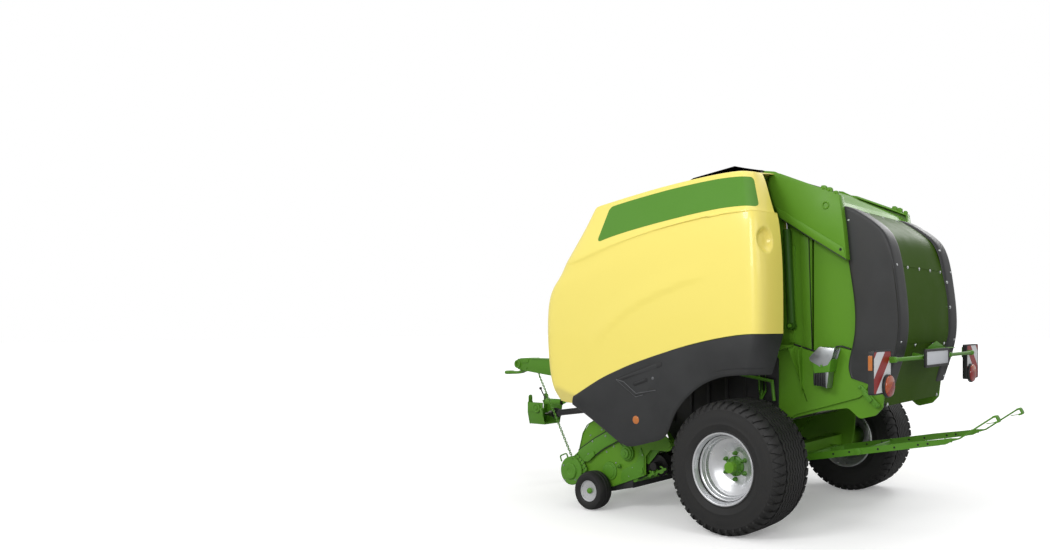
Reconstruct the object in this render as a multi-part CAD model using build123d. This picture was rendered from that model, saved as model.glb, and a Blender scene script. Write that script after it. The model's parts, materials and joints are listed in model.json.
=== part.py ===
from build123d import *
import math
import os

# Round baler with belts, a wide tailgate and a towing beam.
# Millimetres. +X is the machine's left side, -Y is its front, +Z is up.
# Y is measured from the main axle here, and every piece is moved at the end so
# that the origin is on the ground, under the middle of the whole machine.

# ---- driving sizes ----
TYRE_RADIUS = 530
TYRE_WIDTH = 490
TYRE_OUTER_X = 1300
RIM_SEAT_RADIUS = 258
RIM_FLANGE_RADIUS = 288
AXLE_HEIGHT = TYRE_RADIUS
HUB_RADIUS = 45
RUNNING_GAP = 0.06

CHAMBER_HALF = 594          # inner face of the fixed side walls
WALL_OUTER = 615            # outer face of the fixed side walls
GATE_INNER = 600            # tailgate side walls
GATE_OUTER = 620
ARM_OUTER = 632
PLATE_INNER = 626           # lower side plates that carry the axle
PLATE_OUTER = 640
SHEET = 6

BALE_CENTRE = (120, 1760)    # (Y, Z) of a full bale
BALE_RADIUS = 790
GATE_PIVOT = (60, 2850)     # (Y, Z) of the tailgate's hinge line
GATE_PIN_RADIUS = 30
CYLINDER_X = 676
CYLINDER_FOOT = (262, 1640)
CYLINDER_HEAD = (207, 2640)
CYLINDER_RADIUS = 34
ROD_RADIUS = 19
BARREL_LENGTH = 790

ROOF_HALF = 649
HOOD_FACE_X = 1280
HOOD_EDGE_X = 1110
HOOD_ROOT_X = 628
HOOD_SKIN = 9
HOOD_HINGE = (664, 2886)    # (X, Z) of the hood's hinge line
HOOD_REAR_INNER_X = 950
HINGE_ROD_RADIUS = 12

PICKUP_PIVOT = (-800, 620)
PICKUP_HALF = 940           # outer face of the pick-up's side plates
PICKUP_PIN_RADIUS = 30
REEL_CENTRE = (-1450, 330)
REEL_RADIUS = 120
BAND_RADIUS = 180
CROP_PIVOT = (-1249, 516)
CROP_ROLLER = (-1900, 306)
CROP_ROLLER_RADIUS = 100
CROP_COVER_RADIUS = 130
GAUGE_CENTRE = (-1580, 171)
GAUGE_RADIUS = 171
GAUGE_INNER_X = 957
GAUGE_OUTER_X = 1108

ROTOR_CENTRE = (-700, 720)
ROTOR_RADIUS = 240
RAMP_PIVOT = (150, 500)
RAMP_ARM_X = 330
JACK_X = -300
JACK_Y = -2600
PTO_HEIGHT = 860
HITCH_HEIGHT = 1111
HITCH_Y = -3820
HITCH_BORE_RADIUS = 25


# ---- helpers ----
def outline(points):
    """A face from its corners (a, b); a third number rounds that corner."""
    corners = []
    for index, point in enumerate(points):
        here = Vector(point[0], point[1])
        if len(point) < 3:
            corners.append((here, None, here))
            continue
        before = Vector(*points[index - 1][:2])
        after = Vector(*points[(index + 1) % len(points)][:2])
        into = (here - before).normalized()
        out = (after - here).normalized()
        half_turn = math.radians(into.get_angle(out)) / 2
        setback = point[2] * math.tan(half_turn)
        rise = point[2] / math.cos(half_turn) - point[2]
        middle = here + (out - into).normalized() * rise
        corners.append((here - into * setback, middle, here + out * setback))
    edges = []
    for index, (start, middle, end) in enumerate(corners):
        following = corners[(index + 1) % len(corners)][0]
        side = Vector(*points[(index + 1) % len(points)][:2]) - Vector(*points[index][:2])
        if (following - end).dot(side) < -0.01:
            raise ValueError(f"rounded corners overlap after {points[index]}")
        if middle:
            edges.append(ThreePointArc(start, middle, end))
        if (following - end).length > 0.01:
            edges.append(Line(end, following))
    return make_face(edges)


def plate(points, x0, x1):
    """A (Y, Z) outline, as thick as x0 to x1."""
    return extrude(Plane.YZ.offset(x0) * outline(points), amount=x1 - x0)


def block(x0, x1, y0, y1, z0, z1):
    middle = ((x0 + x1) / 2, (y0 + y1) / 2, (z0 + z1) / 2)
    return Pos(*middle) * Box(x1 - x0, y1 - y0, z1 - z0)


def rod(start, end, radius):
    """A round bar from one point to another."""
    start, end = Vector(*start), Vector(*end)
    low = (Align.CENTER, Align.CENTER, Align.MIN)
    bar = Cylinder(radius, (end - start).length, align=low)
    return Plane(origin=start, z_dir=end - start) * bar


def cross_rod(centre, x0, x1, radius):
    """A round bar along X at a (Y, Z) centre."""
    return rod((x0, *centre), (x1, *centre), radius)


def turned(profile, centre):
    """A (X, radius) profile turned about a line along X through (Y, Z)."""
    body = revolve(Plane.XZ * outline(profile), axis=Axis.X)
    return Pos(0, *centre) * body


def mirrored(shape):
    return mirror(shape, about=Plane.YZ)


def beside(line, distance):
    """A (Y, Z) line's points, moved to the line's right."""
    moved = []
    for index, point in enumerate(line):
        before = Vector(*line[max(index - 1, 0)])
        after = Vector(*line[min(index + 1, len(line) - 1)])
        along = (after - before).normalized()
        moved.append((point[0] + along.Y * distance, point[1] - along.X * distance))
    return moved


def strip(line, thickness, x0, x1, first=0, last=None):
    """A sheet along a (Y, Z) line, or along part of it, on the line's right."""
    last = len(line) - 1 if last is None else last
    outer = list(line)[first:last + 1]
    inner = beside(line, thickness)[first:last + 1]
    return plate(outer + inner[::-1], x0, x1)


def inset(points, distance):
    """The corners of a counter-clockwise outline, moved inwards."""
    moved = []
    for index, point in enumerate(points):
        here = Vector(*point)
        into = (here - Vector(*points[index - 1])).normalized()
        out = (Vector(*points[(index + 1) % len(points)]) - here).normalized()
        half_turn = math.radians(into.get_angle(out)) / 2
        normal_in = Vector(-into.Y, into.X)
        normal_out = Vector(-out.Y, out.X)
        inwards = (normal_in + normal_out).normalized()
        moved.append(tuple(here + inwards * (distance / math.cos(half_turn)))[:2])
    return moved


NODES = {}


def keep(name, shape):
    NODES[name] = shape


def keep_pair(name, shape):
    """The left piece as drawn and its mirror image on the right."""
    keep(name + "_left", shape)
    keep(name + "_right", mirrored(shape))


# ---- main wheels ----
def main_wheels():
    inner_x = TYRE_OUTER_X - TYRE_WIDTH
    bead_in, bead_out = inner_x + 16, TYRE_OUTER_X - 16
    tyre = turned([(bead_in, RIM_SEAT_RADIUS), (bead_in, 300), (inner_x, 380, 60),
                   (inner_x + 8, 490, 50), (inner_x + 60, TYRE_RADIUS, 60),
                   (TYRE_OUTER_X - 60, TYRE_RADIUS, 60), (TYRE_OUTER_X - 8, 490, 50),
                   (TYRE_OUTER_X, 380, 60), (bead_out, 300), (bead_out, RIM_SEAT_RADIUS)],
                  (0, AXLE_HEIGHT))
    bore = HUB_RADIUS + RUNNING_GAP
    disc_x = TYRE_OUTER_X - 215
    rim = turned([(bead_in - 10, 246), (bead_in - 10, RIM_FLANGE_RADIUS),
                  (bead_in, RIM_FLANGE_RADIUS), (bead_in, RIM_SEAT_RADIUS),
                  (bead_out, RIM_SEAT_RADIUS), (bead_out, RIM_FLANGE_RADIUS),
                  (bead_out + 10, RIM_FLANGE_RADIUS), (bead_out + 10, 246),
                  (disc_x + 60, 230), (disc_x + 14, 170), (disc_x + 14, 110),
                  (disc_x + 100, 110), (disc_x + 100, bore), (disc_x, bore),
                  (disc_x, 180), (disc_x + 40, 238), (disc_x - 60, 246)],
                 (0, AXLE_HEIGHT))
    keep_pair("wheel_tyre", tyre)
    keep_pair("wheel_rim", rim)


# ---- axle, side plates, drawbar ----
BEAM_SIDE = [(-1400, 1250), (-2300, 1275), (-3650, 1290, 60), (-3720, 1210, 60),
             (-3650, 1131, 40), (-3137, 1062), (-2500, 1010), (-1400, 1000)]


def chassis():
    half = PLATE_OUTER
    beam = block(-half, half, -60, 60, AXLE_HEIGHT - 60, AXLE_HEIGHT + 60)
    spindle_end = TYRE_OUTER_X - 100
    spindle = cross_rod((0, AXLE_HEIGHT), half, spindle_end, HUB_RADIUS)
    flange = cross_rod((0, AXLE_HEIGHT), half, TYRE_OUTER_X - 240, 95)
    keep("axle", beam + spindle + flange + mirrored(spindle + flange))

    lower = [(-1400, 960), (-1400, 1250, 60), (-1150, 1482, 80), (245, 1482), (442, 1429),
             (606, 1388), (660, 1470, 40), (837, 1436), (930, 1396, 60), (975, 1230, 60),
             (878, 1080, 120), (293, 914), (215, 876), (190, 600, 60), (150, 440, 60),
             (-150, 440, 60), (-420, 560, 60), (-640, 430, 80), (-900, 520, 80)]
    side = plate(lower, PLATE_INNER, PLATE_OUTER)
    side -= block(PLATE_INNER - 1, PLATE_OUTER + 1, -60, 60,
                  AXLE_HEIGHT - 60, AXLE_HEIGHT + 60)
    side += plate([(-1380, 1000), (-1100, 1400), (150, 1400), (150, 960), (-1050, 960)],
                  WALL_OUTER, PLATE_INNER)
    gusset = extrude(Plane.XZ.offset(-345) * outline([(PLATE_OUTER, 1470),
                     (PLATE_OUTER + 70, 1450), (PLATE_OUTER, 1040)]), amount=10)
    pivot = cross_rod(PICKUP_PIVOT, PLATE_OUTER, PICKUP_HALF + 12, PICKUP_PIN_RADIUS)
    keep_pair("side_plate", side + gusset + pivot)

    keep("front_crossmember", block(-WALL_OUTER, WALL_OUTER, -1400, -1250, 980, 1250))

    beam_body = plate(BEAM_SIDE, -90, 90)
    hollow = [(-1390, 1242), (-2300, 1267), (-3640, 1280, 50), (-3700, 1210, 50),
              (-3645, 1140, 30), (-3137, 1070), (-2500, 1018), (-1390, 1008)]
    keep("drawbar", beam_body - plate(hollow, -82, 82))

    tongue = block(-55, 55, HITCH_Y, -3480, HITCH_HEIGHT - 20, HITCH_HEIGHT + 20)
    ring = Pos(0, HITCH_Y, HITCH_HEIGHT) * Cylinder(61, 40)
    hole = Pos(0, HITCH_Y, HITCH_HEIGHT) * Cylinder(HITCH_BORE_RADIUS, 60)
    keep("hitch_eye", tongue + ring - hole - beam_body)


# ---- bale chamber, fixed part ----
FRONT_WALL = [(420, 1440), (420, 2700), (160, 2830, 60), (110, 2900, 40), (-100, 2900, 60),
              (-760, 2800, 200), (-1180, 2560, 200), (-1250, 2000, 200), (-1250, 1250),
              (-1250, 980), (-1050, 600, 60), (-700, 450, 80), (-420, 560, 60),
              (-200, 800, 80), (228, 870)]


def bale_chamber():
    wall = plate(FRONT_WALL, CHAMBER_HALF, WALL_OUTER)
    wall += cross_rod(GATE_PIVOT, WALL_OUTER, ARM_OUTER + 10, GATE_PIN_RADIUS)
    wall += cross_rod(CYLINDER_FOOT, WALL_OUTER, CYLINDER_X + 40, 15)
    for rib_y in (-900, -500, -100, 240):
        wall += block(WALL_OUTER, WALL_OUTER + 18, rib_y - 25, rib_y + 25, 1500, 2300)
    keep_pair("chamber_wall", wall)

    front_line = [(-1236, 1250), (-1236, 2000), (-1168, 2550), (-757, 2786), (-100, 2886)]
    keep("chamber_front", strip(front_line, SHEET, -CHAMBER_HALF, CHAMBER_HALF))

    starters = [(*beside_bale(angle, 80), 80) for angle in (213, 262)]
    carriers = [(*beside_bale(angle, 55), 55) for angle in (194, 138, 96)]
    carriers.append((-930, 2250, 55))
    bars = [cross_rod((y, z), -CHAMBER_HALF, CHAMBER_HALF, r) for y, z, r in starters + carriers]
    keep("chamber_rollers", Compound(bars))
    keep("chamber_belts", belts(carriers))

    rotor = cross_rod(ROTOR_CENTRE, -CHAMBER_HALF + 8, CHAMBER_HALF - 8, 90)
    for index in range(7):
        x = -CHAMBER_HALF + 100 + index * (2 * CHAMBER_HALF - 200) / 6
        rotor += cross_rod(ROTOR_CENTRE, x - 5, x + 5, ROTOR_RADIUS)
    keep("feed_rotor", rotor)

    floor_line = [(ROTOR_CENTRE[0] + 262 * math.cos(math.radians(a)),
                   ROTOR_CENTRE[1] + 262 * math.sin(math.radians(a)))
                  for a in (-150, -125, -100, -75, -50, -25)]
    keep("feed_floor", strip(floor_line, SHEET, -CHAMBER_HALF, CHAMBER_HALF))


def beside_bale(angle, radius):
    """The (Y, Z) centre of a roller that lies against a full bale."""
    reach = BALE_RADIUS + radius + 10
    turn = math.radians(angle)
    return (BALE_CENTRE[0] + reach * math.cos(turn), BALE_CENTRE[1] + reach * math.sin(turn))


def belts(rollers, count=5, width=210, thickness=5):
    """Side by side endless belts round rollers (Y, Z, radius), hollowed by the bale."""
    def loop(gap):
        circles = [Pos(y, z) * Circle(r + gap) for y, z, r in rollers]
        hull = make_hull([edge for circle in circles for edge in circle.edges()])
        return hull - Pos(*BALE_CENTRE) * Circle(BALE_RADIUS + 9 - gap)
    pitch = (2 * CHAMBER_HALF - 60) / count
    ring = loop(1 + thickness) - loop(1)
    loops = []
    for index in range(count):
        middle = (index - (count - 1) / 2) * pitch
        loops.append(extrude(Plane.YZ.offset(middle - width / 2) * ring, amount=width))
    return Compound(loops)


# ---- front cover, roof, hood rails ----
def body_covers():
    front_line = [(-1330, 1330), (-1870, 1330), (-1930, 1480), (-1905, 1850), (-1670, 2180),
                  (-1520, 2560), (-1330, 2680)]
    cover = strip(front_line, SHEET, -WALL_OUTER, WALL_OUTER)
    cheek = plate(front_line, WALL_OUTER - SHEET, WALL_OUTER)
    keep("net_box", cover + cheek + mirrored(cheek))

    roof_line = [(-1325, 2700), (-758, 2942), (-320, 3006), (-131, 2960), (-35, 2945)]
    roof = strip(roof_line, SHEET, -ROOF_HALF, ROOF_HALF)
    keep("roof", roof)

    x, z = HOOD_HINGE
    rail = rod((x, -790, z), (x, -20, z), HINGE_ROD_RADIUS)
    for rest_y in (-600, -280):
        rail += block(WALL_OUTER, x, rest_y - 20, rest_y + 20, z - 10, z + 6)
    crest = beside(roof_line, SHEET)
    rail += plate(crest + [(-60, 2880), (-757, 2780), (-1200, 2560)], WALL_OUTER, WALL_OUTER + 8)
    keep("hood_rails", Compound([rail, mirrored(rail)]))


# ---- tailgate ----
GATE_WALL = [(440, 1438), (440, 2740), (562, 2682), (668, 2632), (730, 2582), (888, 2484),
             (1036, 2364, 90), (1104, 2205, 160), (1148, 1980, 400), (1176, 1785, 400),
             (1180, 1620, 200), (1148, 1430, 100), (1100, 1280), (1068, 1150),
             (1050, 1000, 40), (990, 938, 50), (853, 903, 60), (752, 985, 60), (514, 949),
             (270, 884), (235, 872)]
REAR_LINE = [(738, 2580), (894, 2488), (1046, 2370), (1115, 2212), (1138, 2112), (1163, 1987),
             (1190, 1788), (1194, 1620), (1176, 1505), (1160, 1433), (1112, 1280), (1074, 1150),
             (1048, 1008)]
ARM = [(-50, 2898, 30), (-24, 2941, 20), (75, 2926, 30), (168, 2879), (263, 2827),
       (562, 2694), (668, 2644), (722, 2602), (775, 2550), (790, 2130), (744, 2150),
       (123, 2530, 60), (-60, 2800, 50)]
CORNER_COVER = [(703, 2560, 30), (740, 2598, 30), (905, 2505), (1060, 2385, 120),
                (1130, 2220, 150), (1175, 1990, 500), (1202, 1790, 400), (1206, 1620, 200),
                (1172, 1430, 100), (1125, 1277), (1082, 1149, 15), (964, 1186),
                (788, 1230, 40), (772, 1330, 60), (828, 1617, 300), (824, 1827), (766, 2180)]
COVER_HOLLOW = [(600, 2640), (738, 2592), (901, 2498), (1054, 2379, 113), (1123, 2217, 143),
                (1168, 1989, 493), (1195, 1790, 393), (1199, 1621, 193), (1165, 1431, 93),
                (1118, 1278), (1060, 1090), (600, 1090)]
COVER_INNER_X = 460
COVER_OUTER_X = 653


def tailgate():
    wall = plate(GATE_WALL, GATE_INNER, GATE_OUTER)
    arm = plate(ARM, GATE_OUTER, ARM_OUTER)
    arm -= cross_rod(GATE_PIVOT, GATE_OUTER - 1, ARM_OUTER + 1, GATE_PIN_RADIUS + RUNNING_GAP)
    boss = cross_rod(CYLINDER_HEAD, ARM_OUTER, ARM_OUTER + 12, 42)
    keep_pair("tailgate_side", wall + arm + boss)

    top_line = [(168, 2872), (263, 2822), (562, 2688), (668, 2638), (724, 2588)]
    keep("tailgate_top_panel", strip(top_line, 4, -GATE_INNER, GATE_INNER))
    panels = (("tailgate_upper_panel", 0, 4), ("tailgate_middle_panel", 4, 8),
              ("tailgate_lower_panel", 8, 12))
    for name, first, last in panels:
        keep(name, strip(REAR_LINE, 4, -GATE_INNER, GATE_INNER, first, last))

    shell = plate(CORNER_COVER, COVER_INNER_X, COVER_OUTER_X)
    shell -= plate(COVER_HOLLOW, COVER_INNER_X - 1, COVER_OUTER_X - 7)
    keep_pair("corner_cover", shell)

    floor_roller = (*beside_bale(-69, 50), 50)
    carriers = [(*beside_bale(angle, 50), 50) for angle in (-53, -10, 38, 60)]
    carriers += [(1000, 1130, 50), (1020, 2180, 50)]
    bars = [cross_rod((y, z), -GATE_INNER, GATE_INNER, r)
            for y, z, r in [floor_roller] + carriers]
    keep("tailgate_rollers", Compound(bars))
    keep("tailgate_belts", belts(carriers))

    bar_y, bar_z = 1265, 1390
    bar = cross_rod((bar_y, bar_z), -870, 870, 21)
    for lug_x in (-420, 420):
        bar += block(lug_x - 6, lug_x + 6, 1157, bar_y, bar_z - 20, bar_z + 20)
    keep("light_bar", bar)
    board = block(858, 1177, 1184, 1230, 1143, 1463)
    board -= block(870, 1165, 1224, 1240, 1155, 1451)
    board += block(858, 940, 1230, 1282, 1350, 1430)
    board -= cross_rod((bar_y, bar_z), 850, 871, 21)
    keep("warning_boards", Compound([board, mirrored(board)]))
    plate_frame = block(-165, 365, 1288, 1310, 1316, 1446)
    plate_frame -= block(-155, 355, 1305, 1315, 1326, 1436)
    plate_frame += block(80, 120, 1270, 1288, 1370, 1430)
    plate_frame -= cross_rod((bar_y, bar_z), 70, 130, 21)
    keep("plate_holder", plate_frame)


def gate_cylinders():
    foot = Vector(CYLINDER_X, *CYLINDER_FOOT)
    head = Vector(CYLINDER_X, *CYLINDER_HEAD)
    along = (head - foot).normalized()
    tube = rod(foot + along * 20, foot + along * BARREL_LENGTH, CYLINDER_RADIUS)
    tube -= rod(foot + along * 60, foot + along * (BARREL_LENGTH + 1),
                ROD_RADIUS + RUNNING_GAP)
    eye = cross_rod(CYLINDER_FOOT, CYLINDER_X - 25, CYLINDER_X + 25, 36)
    bore = cross_rod(CYLINDER_FOOT, CYLINDER_X - 60, CYLINDER_X + 60, 15 + RUNNING_GAP)
    keep_pair("cylinder_barrel", tube + eye - bore)
    bar = rod(foot + along * 180, head, ROD_RADIUS)
    bar += cross_rod(CYLINDER_HEAD, CYLINDER_X - 24, CYLINDER_X + 24, 34)
    keep_pair("cylinder_rod", bar)


# ---- side hoods ----
# corner: (Y, Z) on the outer face, on the shoulder edge, at the inner root
HOOD_CORNERS = [
    ((238, 2505), (190, 2862), (110, 2872)),        # top rear
    ((-500, 2432), (-500, 2824), (-500, 2840)),     # top middle
    ((-1590, 2165), (-1512, 2675), (-1512, 2690)),  # top front
    ((-1690, 2060), (-1745, 2181), (-1750, 2190)),  # brow
    ((-1860, 1800), (-1985, 1850), (-2005, 1850)),  # nose top
    ((-1870, 1400), (-2010, 1430), (-2030, 1430)),  # nose bottom
    ((-1790, 1120), (-1890, 1075), (-1905, 1070)),  # chin
    ((-1570, 985), (-1685, 962), (-1695, 957)),     # chin bottom
    ((-946, 653), (-946, 653), (-946, 653)),        # toe
    ((-561, 726), (-561, 726), (-561, 726)),        # arch, front
    ((-480, 910), (-480, 910), (-480, 910)),
    ((-380, 1085), (-380, 1085), (-380, 1085)),
    ((-170, 1205), (-170, 1205), (-170, 1205)),
    ((118, 1260), (118, 1260), (118, 1260)),        # arch, rear
    ((262, 1264), (290, 1262), (330, 1262)),        # rear bottom
    ((275, 1590), (320, 1590), (395, 1590)),        # rear middle
    ((262, 2400), (290, 2440), (330, 2450)),        # rear upper
]
LOWER_BOUNDARY = [(-1575, 880), (-1560, 1058), (-1250, 1189), (-819, 1345), (-214, 1495),
                  (420, 1600), (420, 500), (-1575, 500)]


def hood_form(skin):
    sections = []
    for column, x in enumerate((HOOD_FACE_X - skin, HOOD_EDGE_X, HOOD_ROOT_X)):
        corners = [row[column] for row in HOOD_CORNERS]
        if skin:
            corners = inset(corners, skin)
        sections.append(Plane.YZ.offset(x) * outline(corners))
    form = loft([sections[0], sections[1]], ruled=True)
    form += loft([sections[1], sections[2]], ruled=True)
    return form


def side_hoods():
    inner = hood_form(HOOD_SKIN)
    shell = hood_form(0) - inner
    below = block(600, 1400, -1700, 420, 300, 3000)
    shell -= (Pos(0, 0, -60) * inner) & below
    shell -= block(600, HOOD_REAR_INNER_X, 60, 500, 1000, 2840)
    shell -= block(600, 698, -1460, 500, 2500, 3100)
    dark = plate(LOWER_BOUNDARY, 900, 1300)
    lifted = [(y, z + 3) for y, z in LOWER_BOUNDARY[:6]] + LOWER_BOUNDARY[6:]
    upper = shell - plate(lifted, 900, 1300)
    x, z = HOOD_HINGE
    for knuckle_y in (-700, -440, -120):
        knuckle = rod((x, knuckle_y - 50, z), (x, knuckle_y + 50, z), 20)
        leaf = block(x, 720, knuckle_y - 50, knuckle_y + 50, z - 20, z - 12)
        web = block(710, 720, knuckle_y - 50, knuckle_y + 50, 2780, z - 12)
        core = rod((x, knuckle_y - 60, z), (x, knuckle_y + 60, z), HINGE_ROD_RADIUS + RUNNING_GAP)
        upper += (knuckle + leaf + web) - core
    keep_pair("hood", upper)
    keep_pair("hood_skirt", shell & dark)


# ---- pick-up ----
def pickup():
    side = [(-1850, 430), (-1838, 500), (-1800, 640, 120), (-1700, 770, 120), (-1480, 800, 100),
            (-900, 740, 80), (-740, 620, 48), (-800, 560, 50), (-1000, 560), (-1055, 500),
            (-1055, 335, 20), (-1410, 205), (-1700, 150, 40), (-1770, 260)]
    cheek = plate(side, PICKUP_HALF - 10, PICKUP_HALF)
    cheek -= cross_rod(PICKUP_PIVOT, 900, 960, PICKUP_PIN_RADIUS + RUNNING_GAP)
    cheek += cross_rod(GAUGE_CENTRE, PICKUP_HALF, GAUGE_OUTER_X - 20, 18)
    cheek += cross_rod(CROP_PIVOT, PICKUP_HALF, PICKUP_HALF + 22, 25)
    keep_pair("pickup_side", cheek)

    inner = PICKUP_HALF - 10
    frame = cross_rod((-1190, 300), -inner, inner, 40) + cross_rod((-1200, 560), -inner, inner, 32)
    outer_r, inner_r = BAND_RADIUS, BAND_RADIUS - 4
    ring = Circle(outer_r) - Circle(inner_r)
    ring -= Pos(150, 0) * Rectangle(100, 260)
    tails = Pos(110, outer_r - 4) * Rectangle(180, 4) + Pos(130, 4 - outer_r) * Rectangle(230, 4)
    count = 24
    pitch = 2 * (inner - 30) / (count - 1)
    band = Pos(*REEL_CENTRE) * (ring + tails)
    for index in range(count):
        x = -inner + 30 + index * pitch
        frame += extrude(Plane.YZ.offset(x - 17) * band, amount=34)
    rear_strap = block(-inner, inner, REEL_CENTRE[0] + 190, REEL_CENTRE[0] + 240, 148, 560)
    keep("pickup_frame", frame + rear_strap)

    reel = cross_rod(REEL_CENTRE, -inner + 8, inner - 8, 45)
    for quarter in range(4):
        angle = math.radians(45 + 90 * quarter)
        y = REEL_CENTRE[0] + REEL_RADIUS * math.cos(angle)
        z = REEL_CENTRE[1] + REEL_RADIUS * math.sin(angle)
        reel += cross_rod((y, z), -inner + 20, inner - 20, 16)
    for disc_x in (-inner + 20, -300, 300, inner - 28):
        reel += cross_rod(REEL_CENTRE, disc_x, disc_x + 8, REEL_RADIUS + 22)
    keep("pickup_reel", reel)

    arm_in = PICKUP_HALF + 6
    arm = plate([(-1880, 250), (-1880, 350), (-1250, 556, 38), (-1209, 516, 30), (-1250, 476, 38)],
                arm_in, arm_in + 9)
    arm += cross_rod(CROP_ROLLER, arm_in, arm_in + 30, CROP_COVER_RADIUS)
    arm += cross_rod(CROP_ROLLER, arm_in + 30, arm_in + 42, 72)
    arm += cross_rod(CROP_ROLLER, PICKUP_HALF - 60, arm_in, 24)
    arm -= cross_rod(CROP_PIVOT, arm_in - 1, arm_in + 12, 25 + RUNNING_GAP)
    tie = cross_rod((-2010, 420), -arm_in - 9, arm_in + 9, 16)
    prop = plate([(-1960, 330), (-2030, 410, 20), (-2010, 440, 20), (-1930, 400)],
                 arm_in, arm_in + 9)
    keep("crop_press_arms", arm + mirrored(arm) + prop + mirrored(prop) + tie)
    roller = cross_rod(CROP_ROLLER, -PICKUP_HALF + 66, PICKUP_HALF - 66, CROP_ROLLER_RADIUS)
    core = cross_rod(CROP_ROLLER, -PICKUP_HALF, PICKUP_HALF, 24 + RUNNING_GAP)
    keep("crop_roller", roller - core)

    wheel = turned([(GAUGE_INNER_X, 100, 20), (GAUGE_INNER_X, 150, 25),
                    (GAUGE_INNER_X + 35, GAUGE_RADIUS, 30), (GAUGE_OUTER_X - 35, GAUGE_RADIUS, 30),
                    (GAUGE_OUTER_X, 150, 25), (GAUGE_OUTER_X, 100, 20),
                    (GAUGE_OUTER_X - 30, 70), (GAUGE_OUTER_X - 60, 60),
                    (GAUGE_OUTER_X - 60, 18 + RUNNING_GAP), (GAUGE_INNER_X + 40, 18 + RUNNING_GAP),
                    (GAUGE_INNER_X + 40, 80)], GAUGE_CENTRE)
    keep_pair("gauge_wheel", wheel)


# ---- driveline ----
def driveline():
    keep("gearbox", block(-150, 150, -1700, -1420, 770, 1000)
         + rod((150, -1560, 880), (WALL_OUTER, -1560, 880), 35)
         + rod((-150, -1560, 880), (-WALL_OUTER, -1560, 880), 35))
    keep("drive_shaft", rod((0, -2830, PTO_HEIGHT), (0, -1700, PTO_HEIGHT), 30))
    front_y, rear_y = -3290, -2830
    guard = block(-170, 170, front_y, front_y + 8, 585, 850)
    guard += block(-170, 170, front_y, rear_y, 585, 593)
    for x in (-170, 162):
        guard += block(x, x + 8, front_y, rear_y, 585, 860)
    guard += block(-170, 170, rear_y - 8, rear_y, 585, 900)
    guard -= rod((0, front_y - 5, PTO_HEIGHT), (0, front_y + 20, PTO_HEIGHT), 80)
    for x in (-60, 60):
        guard += block(x - 20, x + 20, rear_y - 8, rear_y + 60, 860, 1070)
    keep("pto_guard", guard - plate(BEAM_SIDE, -90, 90))
    bearing = rod((0, -3000, PTO_HEIGHT), (0, rear_y - 8, PTO_HEIGHT), 62)
    stub = rod((0, -3110, PTO_HEIGHT), (0, -3000, PTO_HEIGHT), 17.5)
    keep("pto_bearing", bearing + stub)


# ---- jack, ramp, chocks ----
def stands_and_ramp():
    x, y = JACK_X, JACK_Y
    sleeve = block(x - 45, x + 45, y - 45, y + 45, 500, 1310)
    sleeve -= block(x - 36, x + 36, y - 36, y + 36, 490, 1302)
    sleeve += block(x + 45, -90, y - 60, y + 60, 1080, 1230)
    keep("jack_sleeve", sleeve)
    keep("jack_leg", block(x - 35.9, x + 35.9, y - 35.9, y + 35.9, 12, 900)
         + block(x - 110, x + 110, y - 110, y + 110, 0, 12))

    pin_y, pin_z = RAMP_PIVOT
    ramp = cross_rod(RAMP_PIVOT, -380, 380, 28)
    bar_line = [(pin_y - 20, 470), (pin_y - 20, 512), (783, 632), (1122, 701), (1376, 740),
                (1486, 759), (1566, 766), (1480, 722), (1404, 697), (1208, 661), (783, 582)]
    for side in (-1, 1):
        bar_x = side * RAMP_ARM_X
        ramp += plate(bar_line, bar_x - 6, bar_x + 6)
        ramp += rod((bar_x, 1500, 742), (bar_x, 1881, 940), 9)
    ramp += cross_rod((700, 590), -RAMP_ARM_X, RAMP_ARM_X, 14)
    core = cross_rod(RAMP_PIVOT, -400, 400, 16 + RUNNING_GAP)
    keep("bale_ramp", ramp - core)
    carrier = cross_rod(RAMP_PIVOT, -400, 400, 16)
    for side in (-1, 1):
        lug_x = side * 393
        carrier += block(lug_x - 7, lug_x + 7, 60, pin_y + 25, pin_z - 25, pin_z + 25)
    keep("ramp_carrier", carrier)

    front_y, rear_y, holder_x = 515, 672, 770
    holder = block(PLATE_OUTER, PLATE_OUTER + 8, front_y, rear_y, 1200, 1380)
    holder += block(PLATE_OUTER, holder_x, front_y, rear_y, 1200, 1206)
    for side_y in (front_y, rear_y - 6):
        holder += block(PLATE_OUTER, holder_x, side_y, side_y + 6, 1200, 1280)
    keep("chock_holders", Compound([holder, mirrored(holder)]))
    chock = plate([(527, 1210), (527, 1400), (462, 1425), (536, 1535, 20), (706, 1500),
                   (660, 1350), (660, 1210)], 652, 762)
    chock -= plate([(536, 1382), (520, 1418), (548, 1516), (688, 1488), (644, 1358)], 660, 754)
    keep("wheel_chocks", Compound([chock, mirrored(chock)]))


def main():
    main_wheels()
    chassis()
    bale_chamber()
    body_covers()
    tailgate()
    gate_cylinders()
    side_hoods()
    pickup()
    driveline()
    stands_and_ramp()
    os.makedirs("parts", exist_ok=True)
    boxes = [shape.bounding_box() for shape in NODES.values()]
    middle_y = (min(box.min.Y for box in boxes) + max(box.max.Y for box in boxes)) / 2
    print("middle of the machine, from the axle:", round(middle_y, 2))
    for name, shape in NODES.items():
        export_step(Pos(0, -middle_y, 0) * shape, f"parts/{name}.step")
        print(name, len(shape.solids()), round(shape.volume / 1e6, 2))


main()
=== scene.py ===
# %% [markdown]
# # A round baler, dressed in Blender
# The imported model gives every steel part, its place and its joints. This script
# adds the finish: paint, rubber, mouldings, bolts, tread and the small pieces that
# a maker bolts on last. Everything is in metres. Forward is -Y, and the side that
# shows is +X.

# %% Load the fixed frame
import json
import math
import bmesh
import bpy
import numpy as np
from mathutils import Matrix, Vector


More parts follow.
